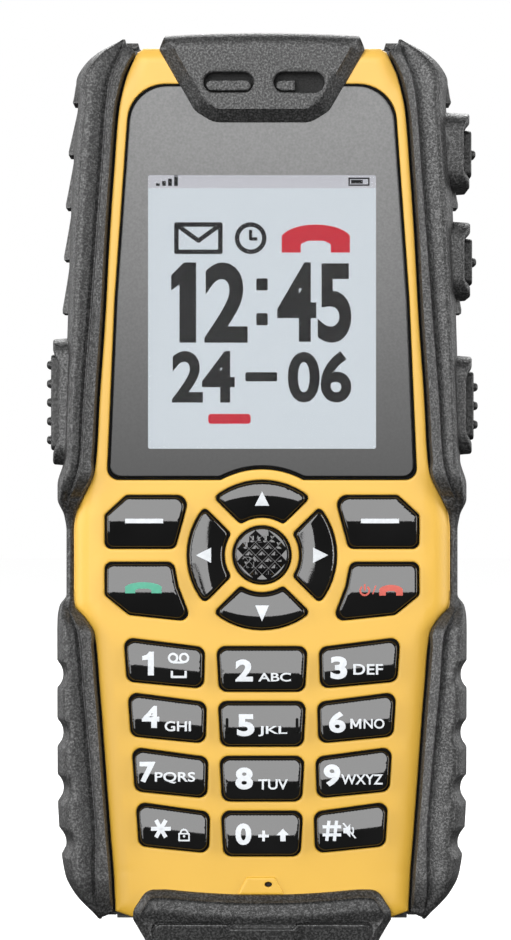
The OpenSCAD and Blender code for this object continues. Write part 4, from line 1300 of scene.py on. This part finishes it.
def build_guard():
    outline, skirt = guard_outline()

    def height(p, a, b):
        d = distance(p, skirt, closed=False)
        bevel = np.clip(1 - d / 1.75, 0, 1)
        y = -BUMPER_Y + 1.55 * bevel + 0.12 * smooth(bevel, 0, 0.12) + round_edge(d, 0.25)
        gap = guard_top(p[:, 0]) - p[:, 1]
        y = np.maximum(y, -BUMPER_Y + round_edge(gap, 2.2, 1.8))
        return y + round_edge(b, 0.25) * 0.8

    slots = [pill(x0, x1, SLOT_Z, SLOT_R) for x0, x1 in SLOTS]
    rings = (0.06, 0.14, 0.25, 0.5, 0.85, 1.25, 1.6, 1.75, 1.9)
    face = relief([outline] + slots, height, -FACE_Y + 0.02, 0.45, rings, 0.25)
    half = GUARD_HALF
    corners = [[-half, -10.85], [half, -10.85], [half, BUMPER_Y], [-half, BUMPER_Y]]
    cap_outline = rounded(corners, [0, 0, 0.6, 0.6], 5)

    def cap_height(p, a, b):
        rear_drop, side_drop = round_edge(BUMPER_Y - p[:, 1], 1.6), round_edge(half - np.abs(p[:, 0]), 0.5)
        return guard_top(p[:, 0]) - rear_drop - side_drop

    cap = relief([cap_outline], cap_height, 118.21, 0.8, (0.08, 0.2, 0.4, 0.7, 1.1), 0.5, top)
    lug = [[-9, 114], [9, 114], [half, 117], [half, 118.6], [-half, 118.6], [-half, 117]]
    rear = relief(
        [rounded(lug, [1.5, 1.5, 1, 0, 0, 1], 6)],
        lambda p, a, b: BUMPER_Y - round_edge(np.where(p[:, 1] > 117.5, 9, a), 0.9),
        BACK_Y + 0.01, 0.8, (0.1, 0.25, 0.5, 0.9),
    )
    make("earpiece_guard_skin", join(face, cap, rear), "black_rubber", "earpiece_guard")
    # painted shade: a near-black floor behind the slots that stands for the shade in their pockets and sound
    # hole
    floor = relief([box_outline(-8.4, 111.5, 8.9, 115.2, 0.3)], -FACE_Y - 0.22, -FACE_Y + 0.01, 2, ())
    make("guard_slot_floor", floor, "slot_floor_painted_shade", slot="black_rubber")
    # the left slot is filled by a plate, and the right one only by half of one, beside its sound hole
    half_plate = [[4.35, 112.29], [4.35, 113.75], [2.5, 113.75], [1.83, 113.4], [1.83, 112.6], [2.5, 112.29]]
    outlines = pill(-7.38, -1.42, 113.02, 0.73), rounded(half_plate, [0.25, 0.25, 0.6, 0.3, 0.3, 0.6], 5)
    edge = (0.05, 0.12, 0.2)
    plates = [
        relief([plate], lambda p, a, b: -12.1 + round_edge(a, 0.2), -FACE_Y - 0.05, 0.4, edge, 0.2)
        for plate in outlines
    ]
    make("guard_slot_plates", join(*plates), "black_rubber")


# ---------- bumper and connector cover ----------


def bumper_top(x):
    return 6.62 + 0.8 * np.minimum(1.0, np.abs(x) / 13.2) ** 2


def build_bumper():
    xs = np.linspace(0, 12.6, 14)
    corners = [[12.6, 7.32], [15.2, 7.3], [16.95, 4.6], [17.0, 3.4], [15.5, 0.9], [15.1, 0.0]]
    side = rounded(corners, [0, 1.9, 1.5, 0.8, 0.5, 0], 8)
    upper = np.stack([xs[:-1], bumper_top(xs[:-1])], 1)
    right = np.concatenate([upper, side])
    notch = rounded([[14.45, -0.4], [14.45, 3.0], [5.5, 3.0], [5.5, 2.9]], [0, 0.9, 0, 0], 8)[1:]
    notch[0][1] = 0.0
    half = np.concatenate([right, notch])
    outline = np.concatenate([half, mirrored(half)[:-1]])
    crest = np.concatenate([mirrored(right), right[1:]])

    def height(p, a, b):
        d = distance(p, crest, closed=False)
        x, z = np.abs(p[:, 0]), p[:, 1]
        bevel = np.clip(1 - d / 0.95, 0, 1)
        bead = 0.14 * np.exp(-((d - 0.98) / 0.14) ** 2)
        y = -BUMPER_Y + 0.14 + 0.95 * bevel + round_edge(d, 0.15) - bead
        # below the bright edge the face leans back towards the base
        y += 0.7 * smooth(bumper_top(x) - z, 2.6, 4.6)
        return y + round_edge(distance(p, notch_line, closed=False), 0.2)

    notch_line = np.concatenate([mirrored(notch[::-1])[::-1], notch[::-1]])
    rings = (0.06, 0.13, 0.22, 0.4, 0.65, 0.82, 0.98, 1.14, 1.3)
    face = relief([outline], height, -FACE_Y + 0.02, 0.5, rings, 0.25)
    # body under the phone, round the pocket of the connector cover
    ring = rounded([[-15.2, -10.78], [15.2, -10.78], [15.2, 12.7], [-15.2, 12.7]], [0, 0, 2.2, 2.2], 8)
    pocket = [[-14.32, -10.7], [14.32, -10.7], [14.32, 6.7], [-14.32, 6.7]]
    base = relief(
        [ring, pocket], lambda p, a, b: round_edge(np.where(p[:, 1] < -9, 9, a), 0.7) + round_edge(b, 0.2),
        3.0, 1.2, (0.1, 0.25, 0.5, 0.75), 0.5, top,
    )
    rear = relief(
        [box_outline(-12, 2.4, 12, 5.6, 0.9)],
        lambda p, a, b: BUMPER_Y - round_edge(np.where(p[:, 1] < 3.2, 9, a), 0.8),
        BACK_Y + 0.01, 0.8, (0.1, 0.25, 0.5, 0.8),
    )
    make("bottom_bumper_skin", join(face, base, rear), "black_rubber", "bottom_bumper")


def build_flap():
    half, hinge_y, hinge_z, knuckle, lip_top = 14.1, 5.2, 1.55, 1.2, 2.8
    outline = [[-half, -11.0], [half, -11.0], [half, hinge_y], [-half, hinge_y]]
    rings = (0.08, 0.18, 0.3)
    under = relief([outline], lambda p, a, b: 0.36 + round_edge(a, 0.3), 2.7, 1.5, rings, 0.6, top)
    a = np.linspace(0, 2 * math.pi, 33)[:-1]
    y, z = hinge_y + knuckle * np.cos(a), hinge_z + knuckle * np.sin(a)
    barrel = rings_solid([np.stack([np.full(32, x), y, z], 1) for x in (-half, -14.0, 0, 14.0, half)])
    left = [[-4.1, 2.2], [-4.6, lip_top], [-half, lip_top]]
    lip = [[-half, 0.02], [half, 0.02], [half, lip_top], [4.6, lip_top], [4.1, 2.2]] + left
    lip = rounded(lip, [0.2, 0.2, 0.8, 0.3, 0.3, 0.3, 0.3, 0.8], 6)

    def height(p, a_, b):
        drop = lip_top - p[:, 1]
        latch = 0.28 * smooth(np.abs(p[:, 0]), 5.0 - 0.35 * drop, 5.45 - 0.35 * drop)
        return -12.66 + latch + 0.34 * drop + round_edge(a_, 0.22)

    face = relief([lip], height, -10.95, 0.4, (0.06, 0.14, 0.22), 0.25)
    flap = join(under, barrel, face)
    make("connector_cover_flap", flap, "black_rubber", "connector_cover", body="connector_cover")


# ---------- rear camera ----------


def node_box(name):
    """Lowest and highest corner of a CAD node, in millimetres."""
    node = frame["nodes"][name]
    points = np.array([tuple(node.matrix_world @ Vector(c)) for c in node.bound_box]) / MM
    return points.min(0), points.max(0)


def build_camera():
    """A bright bezel round the rear camera, and the lens seen behind its window."""
    low, high = node_box("camera_window")
    x, z, r = (low[0] + high[0]) / 2, (low[2] + high[2]) / 2, (high[0] - low[0]) / 2
    rear = high[1]

    def bezel_height(p, a, b):
        return rear + 0.3 - round_edge(a, 0.2) - round_edge(b, 0.35, 0.3)

    ring = [circle(x, z, r + 0.05, 64), circle(x, z, r - 0.75, 56)]
    make("camera_bezel", relief(ring, bezel_height, rear - 0.2, 0.5, (0.06, 0.13, 0.22), 0.3), "steel")

    def dome(p, a, b):
        return rear + 0.22 - 0.05 * np.hypot(p[:, 0] - x, p[:, 1] - z) ** 2

    lens = relief([circle(x, z, r * 0.42, 48)], dome, rear - 0.05, 0.3, (0.05, 0.12, 0.2), 0.2)
    make("camera_lens", lens, "camera_glass", slot="module_plastic")


# ---------- display contents ----------


def screen_mark(name, material, shapes, y):
    solids = [print_solid(shape, lambda p: np.full(len(p), y), 50, 0.0, 0.009) for shape in shapes]
    make(name, join(*solids), material, slot="display")


def build_screen_marks():
    screen_mark("screen_band", "display_band", [filled(box_outline(-15.6, 99.7, 15.6, 101.9))], -8.612)
    one = [[-8.7, 79.3], [-8.7, 89.9], [-10.3, 89.9], [-12, 88.2], [-12, 86.2], [-10.9, 87], [-10.9, 79.3]]
    dark = [
        # the time
        filled(one), text_shape("2", -7.6, -1.9, 79.3, 89.9), text_shape("45", 2.0, 11.8, 79.3, 89.9),
        *(filled(box_outline(-0.75, z, 0.75, z + 1.6, 0.2)) for z in (81.6, 86.2)),
        # the date
        text_shape("24", -11.9, -3.6, 71.4, 78.2), text_shape("06", 3.4, 11.8, 71.4, 78.2),
        filled(box_outline(-2.2, 74.2, 2.0, 75.4, 0.2)),
        # an envelope
        filled(box_outline(-11.6, 91.0, -5.2, 95.2, 0.3), box_outline(-11.0, 91.6, -5.8, 94.6, 0.1)),
        filled(bar(-11.2, 94.8, -8.3, 92.7, 0.6)), filled(bar(-5.6, 94.8, -8.5, 92.7, 0.6)),
        # a clock
        filled(circle(-1.5, 93.1, 2.1, 40), circle(-1.5, 93.1, 1.5, 36)),
        filled(bar(-1.5, 92.9, -1.5, 94.2, 0.45)), filled(bar(-1.65, 93.0, -0.6, 93.0, 0.45)),
    ]
    screen_mark("screen_clock", "display_dark", dark, -8.62)
    # signal strength and battery
    status = [filled(box_outline(-14 + 0.8 * k, 100, -13.5 + 0.8 * k, 100.35 + 0.3 * k)) for k in range(4)]
    battery = [box_outline(11.4, 100, 14.2, 101.1, 0.1), box_outline(11.6, 100.2, 14, 100.9, 0.05)]
    status += [filled(*battery), filled(box_outline(11.75, 100.3, 13.3, 100.8))]
    screen_mark("screen_status", "display_dark", status, -8.63)
    # a missed call, and the selection bar
    missed = [filled(handset(2.6, 11.6, 91.2, 94.9)), filled(box_outline(-7.1, 68.6, -1.5, 69.9, 0.4))]
    screen_mark("screen_accent", "display_red", missed, -8.62)


add_camera()
add_lights()
add_stage()
build_materials()
build_front_cover()
build_glass()
build_keys()
build_legends()
build_grips()
build_side_keys()
build_guard()
build_bumper()
build_flap()
build_camera()
build_screen_marks()

# ---------- CAD nodes that keep their shape ----------

SOFTENED = (
    "rear_cover", "battery_cover", "speaker_grille", "camera_window", "cover_lock_left", "cover_lock_right",
    "housing_screws",
)
slot_of = {entry["node"]: entry["material_slot"] for entry in frame["record"]["subparts"]}
for name, node in frame["nodes"].items():
    node.data.materials.clear()
    node.data.materials.append(M[slot_of[name]])
for name in SOFTENED:
    node = frame["nodes"][name]
    node.modifiers.new("weld", "WELD").merge_threshold = 1e-6
    edges = node.modifiers.new("softened_edges", "BEVEL")
    edges.width = 0.22 * MM
    edges.segments = 2
    edges.limit_method = "ANGLE"
    edges.angle_limit = math.radians(50)
    edges.use_clamp_overlap = True
    edges.harden_normals = True

scene.view_settings.view_transform = "Standard"
